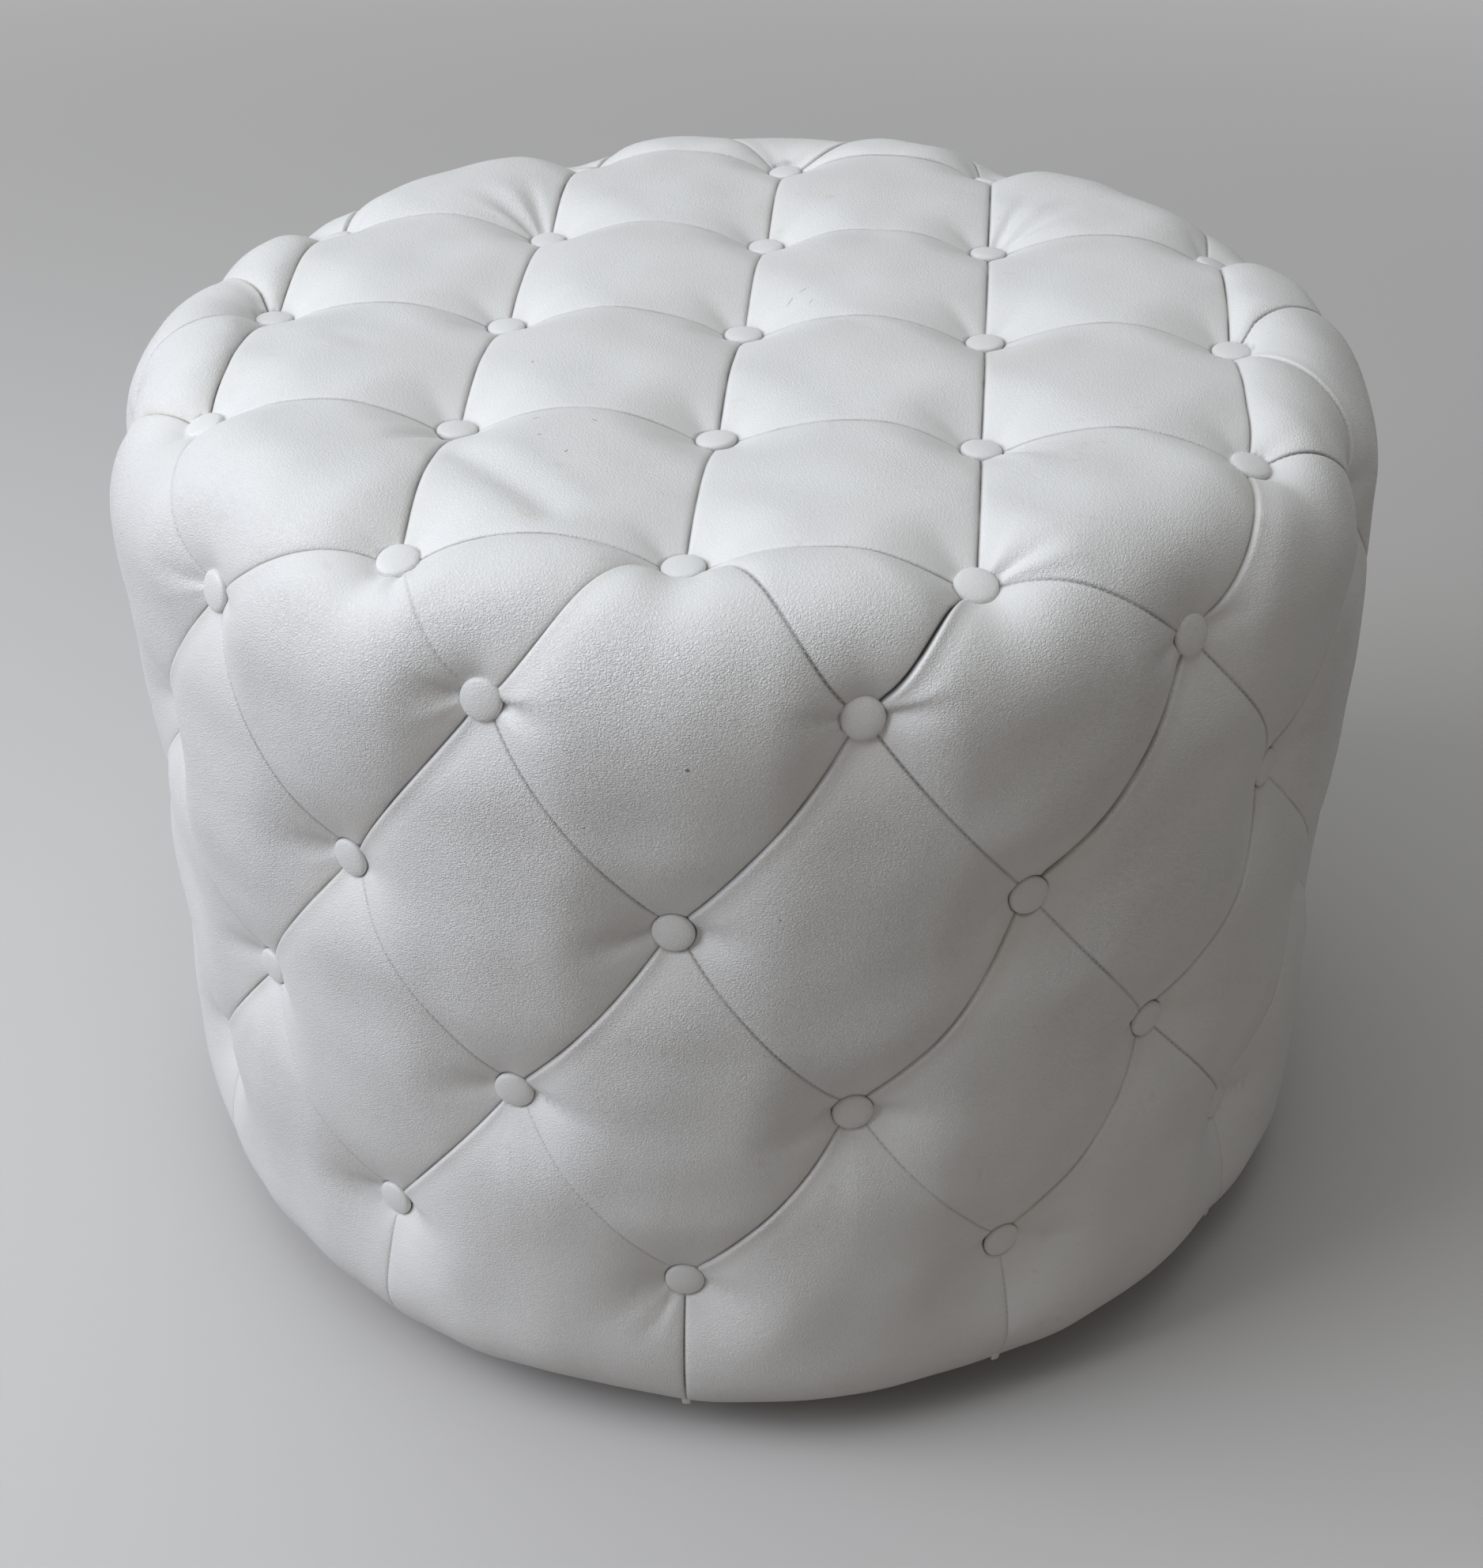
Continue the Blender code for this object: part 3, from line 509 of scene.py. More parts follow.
def addQuadCell(cell, sideCell):
    a, b, c, d = (buttonGuide(key) for key in cell)
    ab, dc, ad, bc = (np.linalg.norm(q - p) for p, q in ((a, b), (d, c), (a, d), (b, c)))
    blendAcross, blendUp = np.meshgrid(sharesAlong(drum["gridPitch"]), sharesAlong(drum["gridPitch"]))
    u = (1 - blendUp) * sharesAlong(ab)[None] + blendUp * sharesAlong(dc)[None]
    v = (1 - blendAcross) * sharesAlong(ad)[:, None] + blendAcross * sharesAlong(bc)[:, None]
    corners = ((False, False, ab, ad, cornerCosine(a, b, d)), (True, False, ab, bc, cornerCosine(b, a, c)),
               (True, True, dc, bc, cornerCosine(c, b, d)), (False, True, dc, ad, cornerCosine(d, a, c)))
    for flipU, flipV, lengthU, lengthV, cosine in corners:
        fromU, fromV = flipped(u, flipU), flipped(v, flipV)
        factor = ringFactor(fromU * lengthU, fromV * lengthV, cosine)
        u, v = flipped(fromU * factor, flipU), flipped(fromV * factor, flipV)
    guides = betweenCorners(u, v, (a, b, c, d))
    pulls = [pitPull(flipped(u, flipU) * lengthU, flipped(v, flipV) * lengthV, lengthU, lengthV, cosine)
             for flipU, flipV, lengthU, lengthV, cosine in corners]
    width = (1 - v) * ab + v * dc
    height = (1 - u) * ad + u * bc
    sides = (((0, 1), v * height, height / 2, u, ab, sideCell, (0, slice(None))),
             ((3, 2), (1 - v) * height, height / 2, u, dc, False, (-1, slice(None))),
             ((0, 3), u * width, width / 2, v, ad, False, (slice(None), 0)),
             ((1, 2), (1 - u) * width, width / 2, v, bc, False, (slice(None), -1)))
    seams = [seamBeside(cell[i], cell[j], *measures) for (i, j), *measures, path in sides]
    index = addGrid(guides, cellLayers(guides, pulls, seams))
    for seam, ((i, j), *measures, path) in zip(seams, sides):
        keepPath(cell[i], cell[j], seam["kind"], index[path])


def addTriangleCell(cell):
    corners = [buttonGuide(key) for key in cell]
    even = 2 * halfAlong(drum["gridPitch"])
    for k in range(3):
        # One third of the triangle: from this corner to the middles of its two seams
        one, two = (k + 1) % 3, (k + 2) % 3
        weights = np.zeros((4, 3))
        weights[0, k] = 1
        weights[1, k] = weights[1, one] = 0.5
        weights[2] = 1 / 3
        weights[3, k] = weights[3, two] = 0.5
        lengthOne, lengthTwo = (np.linalg.norm(corners[m] - corners[k]) for m in (one, two))
        s = (1 - even[:, None]) * 2 * halfAlong(lengthOne)[None] + even[:, None] * even[None]
        t = (1 - even[None]) * 2 * halfAlong(lengthTwo)[:, None] + even[None] * even[:, None]
        shares = betweenCorners(s, t, weights)
        factor = ringFactor(shares[..., one] * lengthOne, shares[..., two] * lengthTwo,
                            cornerCosine(corners[k], corners[one], corners[two]))
        shares[..., one] *= factor
        shares[..., two] *= factor
        shares[..., k] = 1 - shares[..., one] - shares[..., two]
        guides = shares @ np.array(corners)
        pulls, seams = [], []
        for m in range(3):
            n, o = (m + 1) % 3, (m + 2) % 3
            toN, toO = corners[n] - corners[m], corners[o] - corners[m]
            lengthN, lengthO = np.linalg.norm(toN), np.linalg.norm(toO)
            pulls.append(pitPull(shares[..., n] * lengthN, shares[..., o] * lengthO, lengthN, lengthO,
                                 cornerCosine(corners[m], corners[n], corners[o])))
            # The seam between the other two corners
            length = np.linalg.norm(corners[n] - corners[o])
            rise = np.linalg.norm(np.cross(toN, toO)) / length
            along = shares[..., n] / np.maximum(shares[..., n] + shares[..., o], 1e-9)
            reach = rise * tuft["triangleReach"]
            seam = seamBeside(cell[n], cell[o], shares[..., m] * rise, reach, along, length)
            seam["line"] = seam["line"] * smooth(1.0, 0.75, shares[..., m])
            seams.append(seam)
        addGrid(guides, cellLayers(guides, pulls, seams))


def addHemCell(place):
    keys = (sideKey(3, place), sideKey(2, place), sideKey(3, place + 1))
    left, middle, right = (buttonGuide(key) for key in keys)
    slant = np.linalg.norm(middle - left)
    rowRise = drum["rows"][2] - drum["rows"][3]
    shortDrop = drum["rows"][3] - drum["hem"]
    span = divisionAngle(1)
    spanRun = span * drum["radius"]
    slantRun, slantRise = spanRun / 2 / slant, rowRise / slant
    across = np.concatenate((sharesAlong(slant), 1 + sharesAlong(slant)[1:]))
    s = np.broadcast_to(across, (len(hemDrops), len(across)))
    fromLow = np.minimum(s, 2 - s)
    drop = hemDrops[:, None] * shortDrop + fromLow * rowRise * hemDrops[:, None] ** 2
    atLow = ringFactor(fromLow * slant, drop, -slantRise, tuft["hemRingEnd"])
    atMiddle = ringFactor((1 - fromLow) * slant, drop, slantRise, tuft["hemRingEnd"])
    closerLow = fromLow < 0.5
    drop = drop * np.where(closerLow, atLow, atMiddle)
    fromLow = np.where(closerLow, fromLow * atLow, 1 - (1 - fromLow) * atMiddle)
    s = np.where(s <= 1, fromLow, 2 - fromLow)
    leftHalf = s <= 1
    ends = np.where(leftHalf[..., None], left, right)
    tops = ends + (middle - ends) * fromLow[..., None]
    feet = polar(drum["radius"] - drum["buttonBack"], divisionAngle(place) + span * s / 2, drum["hem"])
    fall = tops[..., 2] - drum["hem"]
    v = drop / fall
    guides = tops * (1 - v)[..., None] + feet * v[..., None]
    # Distance round the drum from the left lowest button, and from the seams
    roundDrum = s / 2 * spanRun
    toSide = np.minimum(roundDrum, spanRun - roundDrum)
    fromMiddle = np.abs(roundDrum - spanRun / 2)
    toSlant = drop * slantRun
    towards = (drum["rows"][2] - (fall + drum["hem"]) + drop) / slantRise
    one = np.maximum((towards + fromMiddle / slantRun) / 2, 0)
    two = np.maximum((towards - fromMiddle / slantRun) / 2, 0)
    pulls = [pitPull(one, two, slant, slant, slantRise ** 2 - slantRun ** 2)]
    for share in (np.clip(s, 0, 1), np.clip(2 - s, 0, 1)):
        pulls.append(pitPull(share * slant, drop, slant, 2 * shortDrop * tuft["lowReach"], -slantRise))
    # Sharp on the seam itself, so that both cells meet there, and softer further down
    spread = np.minimum(drop / tuft["blendDrop"], 1) * tuft["blendSpread"] + 1e-6
    lean = smooth(1 - spread, 1 + spread, s)
    slantStrengths = [seamStrength(keys[k], keys[k + 1]) for k in (0, 1)]
    slantLine = (slantStrengths[0] * seamLine("pleat", True, toSlant) * leftHalf
                 + slantStrengths[1] * seamLine("stitched", False, toSlant) * ~leftHalf)
    uprights = [seamStrength(sideKey(3, k), ("hem", 0, k % divisions)) for k in (place, place + 1)]
    uprightLine = sum(strength * seamLine("vertical", False, distance)
                      for strength, distance in zip(uprights, (roundDrum, spanRun - roundDrum)))
    seams = ({"kind": "pleat", "strength": np.where(leftHalf, *slantStrengths), "distance": toSlant,
              "dip": seamDip(toSlant, tuft["hemReach"]),
              "weight": seamKinds["pleat"]["dip"] * (1 - lean) + seamKinds["stitched"]["dip"] * lean,
              "line": slantLine * np.where(leftHalf, lineFade(s, slant), lineFade(s - 1, slant))},
             {"kind": "vertical", "strength": np.where(leftHalf, *uprights), "distance": toSide,
              "dip": seamDip(toSide, spanRun / 2 * tuft["uprightReach"]),
              "weight": seamKinds["vertical"]["dip"],
              "line": uprightLine * smooth(tuft["lineStart"], tuft["lineFull"], drop)})
    depth, *others = cellLayers(guides, pulls, seams)
    turned = np.clip(1 - (1 - v) * fall / tuft["hemRun"], 0, 1) ** tuft["hemPower"]
    index = addGrid(guides, (depth * (1 - turned) + tuft["hemInset"] * turned, *others), flip=True)
    keepPath(keys[0], ("hem", 0, place), "vertical", index[:, 0])
    return index


for j in gridSteps[:-1]:
    for i in gridSteps[:-1]:
        around = ((i, j), (i + 1, j), (i + 1, j + 1), (i, j + 1))
        addQuadCell([cornerOrTop(*place) for place in around], False)
hemLoops = []
for place in range(divisions):
    addQuadCell((rim[place], sideKey(0, place - 1), sideKey(1, place), sideKey(0, place)), True)
    addQuadCell((sideKey(0, place), sideKey(1, place), sideKey(2, place), sideKey(1, place + 1)), True)
    addQuadCell((sideKey(1, place), sideKey(2, place - 1), sideKey(3, place), sideKey(2, place)), True)
    first, second = rim[place], rim[(place + 1) % divisions]
    if abs(first[1] - second[1]) + abs(first[2] - second[2]) == 1:
        addTriangleCell((first, sideKey(0, place), second))
    hemLoops.append(addHemCell(place)[-1])

guides, depth, near, pull, shade = (np.concatenate(parts) for parts in layers.values())
crowns, outward = crownPoints(guides)
print("tufted cells laid out:", len(depth), "points")

# Folds that run out from the buttons: direction in degrees seen from outside (0 right, 90 up),
# reach, depth and half width in millimetres; a negative depth is a raised wrinkle
foldRandom = random.Random(5)
sideFolds = ((0, 46, 1.9, 6.0), (180, 46, 1.9, 6.0), (14, 36, -0.55, 3.0), (-16, 32, 0.6, 3.2),
             (166, 34, 0.6, 3.2), (196, 36, -0.55, 3.0), (-90, 30, -0.5, 7.0), (90, 26, 0.6, 7.0))
topFolds = ((45, 40, 0.8, 5.0), (135, 40, 0.8, 5.0), (225, 36, 0.6, 5.0), (315, 36, 0.6, 5.0))
namedFolds = {
    ("side", 0, 11): ((4, 52, 1.4, 3.0), (-12, 44, 0.9, 2.6), (12, 46, -0.9, 2.4), (168, 46, 0.9, 4.0)),
    ("side", 0, 0): ((172, 44, 1.0, 3.4), (186, 40, -0.6, 2.4), (10, 48, 1.0, 3.2), (24, 40, -0.6, 2.4)),
    ("side", 1, 0): ((188, 50, 1.2, 6.0), (176, 38, -0.5, 2.6), (8, 42, 0.9, 4.0)),
    ("side", 2, 11): ((186, 46, 0.9, 4.2), (4, 40, 0.8, 3.4)),
    ("side", 2, 0): ((188, 56, 1.1, 5.5), (2, 42, 0.8, 4.2)),
    ("side", 3, 0): ((205, 52, 0.9, 3.2), (222, 48, -0.7, 2.8), (236, 44, 0.8, 3.0), (252, 36, -0.5, 2.4)),
    ("side", 3, 11): ((176, 50, 0.9, 3.0), (190, 44, -0.7, 2.6), (204, 40, 0.7, 3.0), (160, 38, 0.6, 3.2)),
    ("top", -1, 1): ((112, 66, 1.5, 4.0), (128, 70, -1.0, 3.4), (144, 68, 1.3, 4.0), (160, 54, -0.8, 3.2)),
    ("top", 1, 1): ((68, 64, 1.9, 3.8), (52, 66, -1.3, 3.2), (36, 62, 1.7, 3.8), (20, 50, -1.0, 3.0)),
    ("top", 1, -2): ((38, 52, 1.1, 3.4), (22, 48, -0.9, 3.0), (8, 44, 0.8, 3.2), (64, 50, -0.7, 3.4)),
    ("top", 1, -1): ((-40, 56, 1.2, 4.0), (-58, 60, -0.9, 3.8), (-20, 44, 0.8, 3.6)),
    ("top", -1, -2): ((-80, 40, 1.0, 3.0), (-62, 44, -0.7, 2.8), (-100, 34, -0.6, 2.8)),
    ("top", -1, -1): ((-118, 58, 1.0, 4.4), (-140, 52, -0.8, 4.0)),
    ("top", 0, -2): ((-90, 62, 2.5, 11.0), (-70, 40, 0.8, 3.2), (-110, 36, 0.6, 3.2)),
}
foldRun = {"window": 0.075, "start": 6.0, "full": 13.0, "fading": 0.35, "narrow": 0.55, "widening": 0.45,
           "strays": ((-9, 9), (0.8, 1.15), (0.5, 1.3), (0.85, 1.2)), "namedDepth": 1.3, "namedWidth": 1.2}
allButtons = topKeys + [sideKey(row, place) for row in range(4) for place in range(divisions)]
for key in allButtons:
    crown, direction = crownAt(key)
    toRight, toTop = np.array((1.0, 0.0, 0.0)), np.array((0.0, 1.0, 0.0))
    if key[0] == "side":
        toRight = np.cross(upward, direction)
        toRight /= np.linalg.norm(toRight)
        toTop = np.cross(direction, toRight)
    offset = crowns - crown
    close = np.linalg.norm(offset, axis=1) < foldRun["window"]
    x, y = offset[close] @ toRight, offset[close] @ toTop
    folds = []
    for angle, reach, deep, width in (topFolds if key[0] == "top" else sideFolds):
        aside, longer, deeper, wider = (foldRandom.uniform(*stray) for stray in foldRun["strays"])
        folds.append((angle + aside, reach * longer, deep * deeper, width * wider))
    folds += [(angle, reach, deep * foldRun["namedDepth"], width * foldRun["namedWidth"])
              for angle, reach, deep, width in namedFolds.get(key, ())]
    for angle, reach, deep, width in folds:
        turn = math.radians(angle)
        along = (x * math.cos(turn) + y * math.sin(turn)) * 1000
        across = (-x * math.sin(turn) + y * math.cos(turn)) * 1000
        spread = width * (foldRun["narrow"] + foldRun["widening"] * np.clip(along / reach, 0, 2))
        fade = smooth(foldRun["start"], foldRun["full"], along)
        fade = fade * smooth(reach, reach * foldRun["fading"], along)
        depth[close] += deep / 1000 * fade * bell(across, 0, spread)

# Slack dents in the seat, between two places on it
slackDents = (
    {"start": (-0.112, -0.150), "end": (-0.046, -0.218), "deep": 0.0020, "width": 0.0065, "fade": 0.016},
    {"start": (-0.092, -0.146), "end": (-0.034, -0.206), "deep": -0.0008, "width": 0.0060, "fade": 0.018},
    {"start": (0.030, 0.006), "end": (0.072, -0.022), "deep": 0.0007, "width": 0.0080, "fade": 0.016},
    {"start": (-0.158, -0.062), "end": (-0.196, -0.038), "deep": 0.0011, "width": 0.0070, "fade": 0.014},
)
for dent in slackDents:
    start, end = np.array(dent["start"]), np.array(dent["end"])
    length = np.linalg.norm(end - start)
    heading = (end - start) / length
    along = (crowns[:, :2] - start) @ heading
    across = (crowns[:, :2] - start) @ np.array((-heading[1], heading[0]))
    within = smooth(0, dent["fade"], along) * smooth(length, length - dent["fade"], along)
    depth += dent["deep"] * within * bell(across, 0, dent["width"]) * (outward[:, 2] > 0.5) * (1 - pull)

# Slow unevenness of the padding: how many waves, their length and their height
waveRandom = random.Random(3)
for count, length, swing in ((9, 0.15, 0.00035), (12, 0.075, 0.00022), (14, 0.040, 0.00010)):
    for _ in range(count):
        wave = np.array([waveRandom.gauss(0, 1) for _ in range(3)])
        wave = wave / np.linalg.norm(wave) * 2 * math.pi / (length * waveRandom.uniform(0.8, 1.3))
        depth += swing * np.sin(crowns @ wave + waveRandom.uniform(0, 6.28)) * (1 - pull)

# Pockets that the buttons sit in, with painted shade in the thin gap round each button
pocket = {"depth": 0.0024, "inside": 0.0089, "outside": 0.0097, "gap": 0.0094, "gapWidth": 0.00045,
          "paintedGapShade": 0.62}
for key in allButtons:
    distance = np.linalg.norm(crowns - crownAt(key)[0], axis=1)
    depth += pocket["depth"] * (1 - smooth(pocket["inside"], pocket["outside"], distance))
    # Painted shade in a thin ring just outside each button
    shade = np.maximum(shade, pocket["paintedGapShade"] * bell(distance, pocket["gap"], pocket["gapWidth"]))

surface = crowns - outward * depth[:, None]

# The hem turns under the board as a gathered flap, and the padding's back goes up inside: radius and height
hemFlap = ((0.2874, 0.0230), (0.2840, 0.0231), (0.2780, 0.0236), (0.2720, 0.0238), (0.2665, 0.0239),
           (0.2658, 0.0243), (0.2665, 0.0246), (0.2720, 0.0246), (0.2780, 0.0246), (0.2800, 0.0248))
gathers = {"rings": 6, "deep": 0.00045, "start": 0.284, "run": 0.008, "waves": ((0.3, 61, 0), (0.2, 97, 1))}
lining = {"radius": 0.2805, "heights": (0.0262, 0.12, 0.26), "top": 0.4225, "bend": 0.045, "middle": 0.08}


def coverMesh():
    radius, top, bend = lining["radius"], lining["top"], lining["bend"]
    profile = [*hemFlap, *((radius, height) for height in (*lining["heights"], top - bend))]
    for turn in (math.pi / 6, math.pi / 3, math.pi / 2):
        profile.append((radius - bend + bend * math.cos(turn), top - bend + bend * math.sin(turn)))
    profile.append((lining["middle"], top))
    loop = np.concatenate([hemLoops[0]] + [part[1:] for part in hemLoops[1:]])[:-1]
    angles = np.arctan2(surface[loop, 0], -surface[loop, 1])
    gathered = 0.5 + sum(swing * np.sin(angles * count + start) for swing, count, start in gathers["waves"])
    vertices, polygons, last = [surface], list(faces), loop
    for ring, (radius, height) in enumerate(profile):
        drawnIn = min(max((gathers["start"] - radius) / gathers["run"], 0), 1) * (ring < gathers["rings"])
        vertices.append(polar(radius, angles, height - gathers["deep"] * drawnIn * gathered))
        index = len(surface) + ring * len(angles) + np.arange(len(angles))
        # Down the outside and up the inside, so that every face points out of the padding
        polygons.append(np.stack((last, index, np.roll(index, -1), np.roll(last, -1)), 1))
        last = index
    centre = last[-1] + 1
    vertices.append(np.array([(0.0, 0.0, top)]))
    fan = np.stack((last, np.full(len(last), centre), np.roll(last, -1)), 1)
    mesh = bpy.data.meshes.new("tufted_leatherette")
    mesh.from_pydata(np.concatenate(vertices).tolist(), [], np.concatenate(polygons).tolist() + fan.tolist())
    # The last attribute carries the painted shade of the seam bottoms and of the gaps round the buttons
    for name, values in (("seamNear", near), ("pitNear", pull), ("paintedCreaseShade", shade)):
        full = np.zeros(len(mesh.vertices), np.float32)
        full[:len(values)] = values
        mesh.attributes.new(name, "FLOAT", "POINT").data.foreach_set("value", full)
    merged = bmesh.new()
    merged.from_mesh(mesh)
    bmesh.ops.remove_doubles(merged, verts=merged.verts, dist=0.00002)
    print("open edges in the cover:", sum(1 for edge in merged.edges if not edge.is_manifold))
    merged.to_mesh(mesh)
    merged.free()
    mesh.shade_smooth()
    return mesh


cover = linkObject("tufted_cover_leatherette", coverMesh())
print("cover made:", len(cover.data.polygons), "faces")

# White leatherette: fine pebbled grain with thin creases, painted shade along the seam bottoms and round the
# buttons, a little dirt
leather = {"colour": (0.775, 0.780, 0.776), "worn": (0.735, 0.735, 0.728), "crease": (0.58, 0.575, 0.57),
           "grime": (0.66, 0.63, 0.56), "seam": (0.11, 0.095, 0.09), "mark": (0.12, 0.09, 0.07),
           "roughness": (0.36, 0.46), "specular": 0.45, "grainSize": 0.00175, "grainRun": 1.5,
           "grainDepth": 0.00032, "bend": 0.0008, "coverGrain": 0.9, "buttonGrain": 0.45}
# Scuffs on the seat: place in cells of the grid, turn, length, darkness
topMarks = ((-0.66, -1.13, 35, 0.0020, 0.55), (-0.44, -1.13, -40, 0.0016, 0.5),
            (-0.50, -1.41, 70, 0.0015, 0.55), (-0.62, -1.28, 20, 0.0013, 0.5),
            (-0.77, -0.61, 95, 0.0014, 0.45), (0.18, 0.16, 60, 0.0034, 0.35),
            (0.23, 0.22, 48, 0.0026, 0.35), (0.27, 0.13, 75, 0.0022, 0.3))
# Specks on the side: degrees round, height, size, darkness
sideMarks = ((1.8, 0.388, 0.0013, 0.75), (-6.2, 0.356, 0.0009, 0.5), (8.5, 0.316, 0.0007, 0.7))
marks = [((x * drum["gridPitch"], y * drum["gridPitch"], drum["crown"]), turn, (length, 0.0005, 0.02), dark)
         for x, y, turn, length, dark in topMarks]
marks += [(tuple(polar(drum["radius"], math.radians(turn), height)), turn, (size, 0.02, size * 0.6), dark)
          for turn, height, size, dark in sideMarks]


def leatherMaterial(name, grain, onCover):
    material, tree, place = newMaterial(name)
    wobble = addNode(tree, "TexNoise", {"Vector": place, "Scale": 520.0, "Detail": 1.0}).outputs["Color"]
    bent = vectorMaths(tree, "ADD", place, vectorMaths(tree, "MULTIPLY", wobble, (leather["bend"],) * 3))
    # The grain runs round the drum: large pebbles parted by creases, shallower small ones over them
    bent = stretched(tree, bent, (1.0, 1.0, leather["grainRun"]))
    edges = cellsOf(tree, bent, leather["grainSize"], "DISTANCE_TO_EDGE")
    small = cellsOf(tree, bent, leather["grainSize"] / 1.9, "DISTANCE_TO_EDGE")
    pebbles = addNode(tree, "MapRange", {"Value": edges, "From Max": 0.30}, interpolation_type="SMOOTHSTEP")
    height = maths(tree, "MULTIPLY", pebbles.outputs["Result"], patches(tree, place, 330.0, 2.0, toLow=0.5))
    height = maths(tree, "ADD", height, maths(tree, "MULTIPLY", remap(tree, small, 0.0, 0.25), 0.5))
    height = maths(tree, "ADD", height, maths(tree, "MULTIPLY", noise(tree, place, 1700.0, 1.0), 0.22))
    # Pressed smoother on the seat, and stretched smoother towards the hem
    upwards = upAxis(tree, addNode(tree, "NewGeometry").outputs["Normal"])
    strength = patches(tree, place, 11.0, 2.0, toLow=0.72)
    strength = maths(tree, "MULTIPLY", strength, remap(tree, upwards, 0.55, 0.95, 1.0, 0.55))
    strength = maths(tree, "MULTIPLY", strength, remap(tree, upAxis(tree, place), 0.06, 0.28, 0.62, 1.0))
    if onCover:
        seamNear, pitNear, paintedCreaseShade = (addNode(tree, "Attribute", attribute_name=attribute).outputs["Fac"]
                                        for attribute in ("seamNear", "pitNear", "paintedCreaseShade"))
        calm = remap(tree, maths(tree, "ADD", seamNear, pitNear), 0.45, 1.2, 1.0, 0.55)
        strength = maths(tree, "MULTIPLY", strength, calm)
    colour = mix(tree, patches(tree, place, 13.0, 3.0), leather["colour"], leather["worn"])
    crease = maths(tree, "MULTIPLY", remap(tree, edges, 0.0, 0.10, 0.36, 0.0), strength)
    colour = mix(tree, crease, colour, leather["crease"])
    if onCover:
        cloudy = maths(tree, "MULTIPLY", seamNear, noise(tree, place, 24.0, 4.0, 0.6))
        colour = mix(tree, remap(tree, cloudy, 0.40, 0.70, 0.0, 0.5), colour, leather["grime"])
        colour = mix(tree, patches(tree, place, 95.0, 2.0, 0.70, 0.76, 0.0, 0.35), colour, leather["grime"])
        frayed = maths(tree, "MULTIPLY", noise(tree, place, 900.0, 2.0), 0.9)
        for middle, turn, size, dark in marks:
            onMark = addNode(tree, "Mapping", {"Vector": place, "Location": middle, "Scale": size,
                                               "Rotation": (0, 0, math.radians(turn))}, vector_type="TEXTURE")
            away = maths(tree, "ADD", vectorMaths(tree, "LENGTH", onMark.outputs[0]), frayed)
            colour = mix(tree, remap(tree, away, 1.15, 1.5, dark, 0.0), colour, leather["mark"])
        # Painted shade in the seam bottoms and in the gaps round the buttons, in the dark seam colour
        line = maths(tree, "MULTIPLY", paintedCreaseShade, patches(tree, place, 45.0, 2.0, 0.35, 0.62, 0.45))
        colour = mix(tree, line, colour, leather["seam"])
    gloss = patches(tree, place, 30.0, 2.0, 0.3, 0.7, *leather["roughness"])
    finishShader(tree, {"Base Color": colour, "Roughness": gloss, "Specular IOR Level": leather["specular"]},
                 height, maths(tree, "MULTIPLY", strength, grain), leather["grainDepth"])
    return material


coverLeather = leatherMaterial("white_leatherette_grained", leather["coverGrain"], True)
buttonLeather = leatherMaterial("button_leatherette_grained", leather["buttonGrain"], False)
dressPiece(cover, "white_leatherette", coverLeather, "tufted_cover")


# Lockstitches of thread along the flat seams, modelled once and copied
stitching = {"pitch": 0.0031, "length": 0.0015, "width": 0.0007, "start": 0.0125, "hemEnd": 0.006,
             "sunk": 0.00012, "slant": 0.22, "straight": 0.6, "pointed": 0.2, "tip": 0.5,
             "kinds": ("row", "stitched", "vertical")}
thread = {"shade": (0.66, 0.66, 0.64), "colour": (0.80, 0.80, 0.78), "twist": 900.0, "relief": 0.0001,
          "roughness": 0.6}


def stitchShape():
    obj = startShape(bpy.ops.mesh.primitive_cylinder_add, vertices=6, radius=stitching["width"] / 2,
                     depth=stitching["length"] * stitching["straight"], end_fill_type="NGON")
    for side in (1, -1):
        selectFaces(obj, lambda face: face.normal.z * side > 0.9)
        outwards = side * stitching["length"] * stitching["pointed"]
        bpy.ops.mesh.extrude_region_move(TRANSFORM_OT_translate={"value": (0, 0, outwards)})
        bpy.ops.transform.resize(value=(stitching["tip"], stitching["tip"], 1), center_override=(0, 0, 0))
    return endShape(obj)


def onPath(values, path, travelled, at):
    return np.array([np.interp(at, travelled, values[path, axis]) for axis in range(3)])


def placeStitches():
    shape = stitchShape()
    local = np.array([vertex.co for vertex in shape.vertices])
    corners = [np.array(polygon.vertices) for polygon in shape.polygons]
    stitchRandom = random.Random(21)
    vertices, polygons = [], []
    for name in sorted(seamPaths):
        kind, path = seamPaths[name]
        if kind not in stitching["kinds"]:
            continue
        travelled = np.linalg.norm(np.diff(surface[path], axis=0), axis=1).cumsum()
        travelled = np.concatenate(([0.0], travelled))
        at = stitching["start"]
        while at < travelled[-1] - stitching["hemEnd" if kind == "vertical" else "start"]:
            place, normal = (onPath(values, path, travelled, at) for values in (surface, outward))
            along = onPath(surface, path, travelled, at + 0.001) - place
            along /= np.linalg.norm(along)
            across = np.cross(normal, along)
            across /= np.linalg.norm(across)
            along = along + across * stitchRandom.uniform(0.3, 1.0) * stitching["slant"]
            over = np.cross(along, across)
            place = place - over * stitching["sunk"] * np.sign(np.dot(over, normal))
            polygons.extend((polygon + len(vertices)).tolist() for polygon in corners)
            vertices.extend((local @ np.array((across, over, along)) + place).tolist())
            at += stitching["pitch"] * stitchRandom.uniform(0.94, 1.06)
    return closedMesh("seam_thread", vertices, polygons)


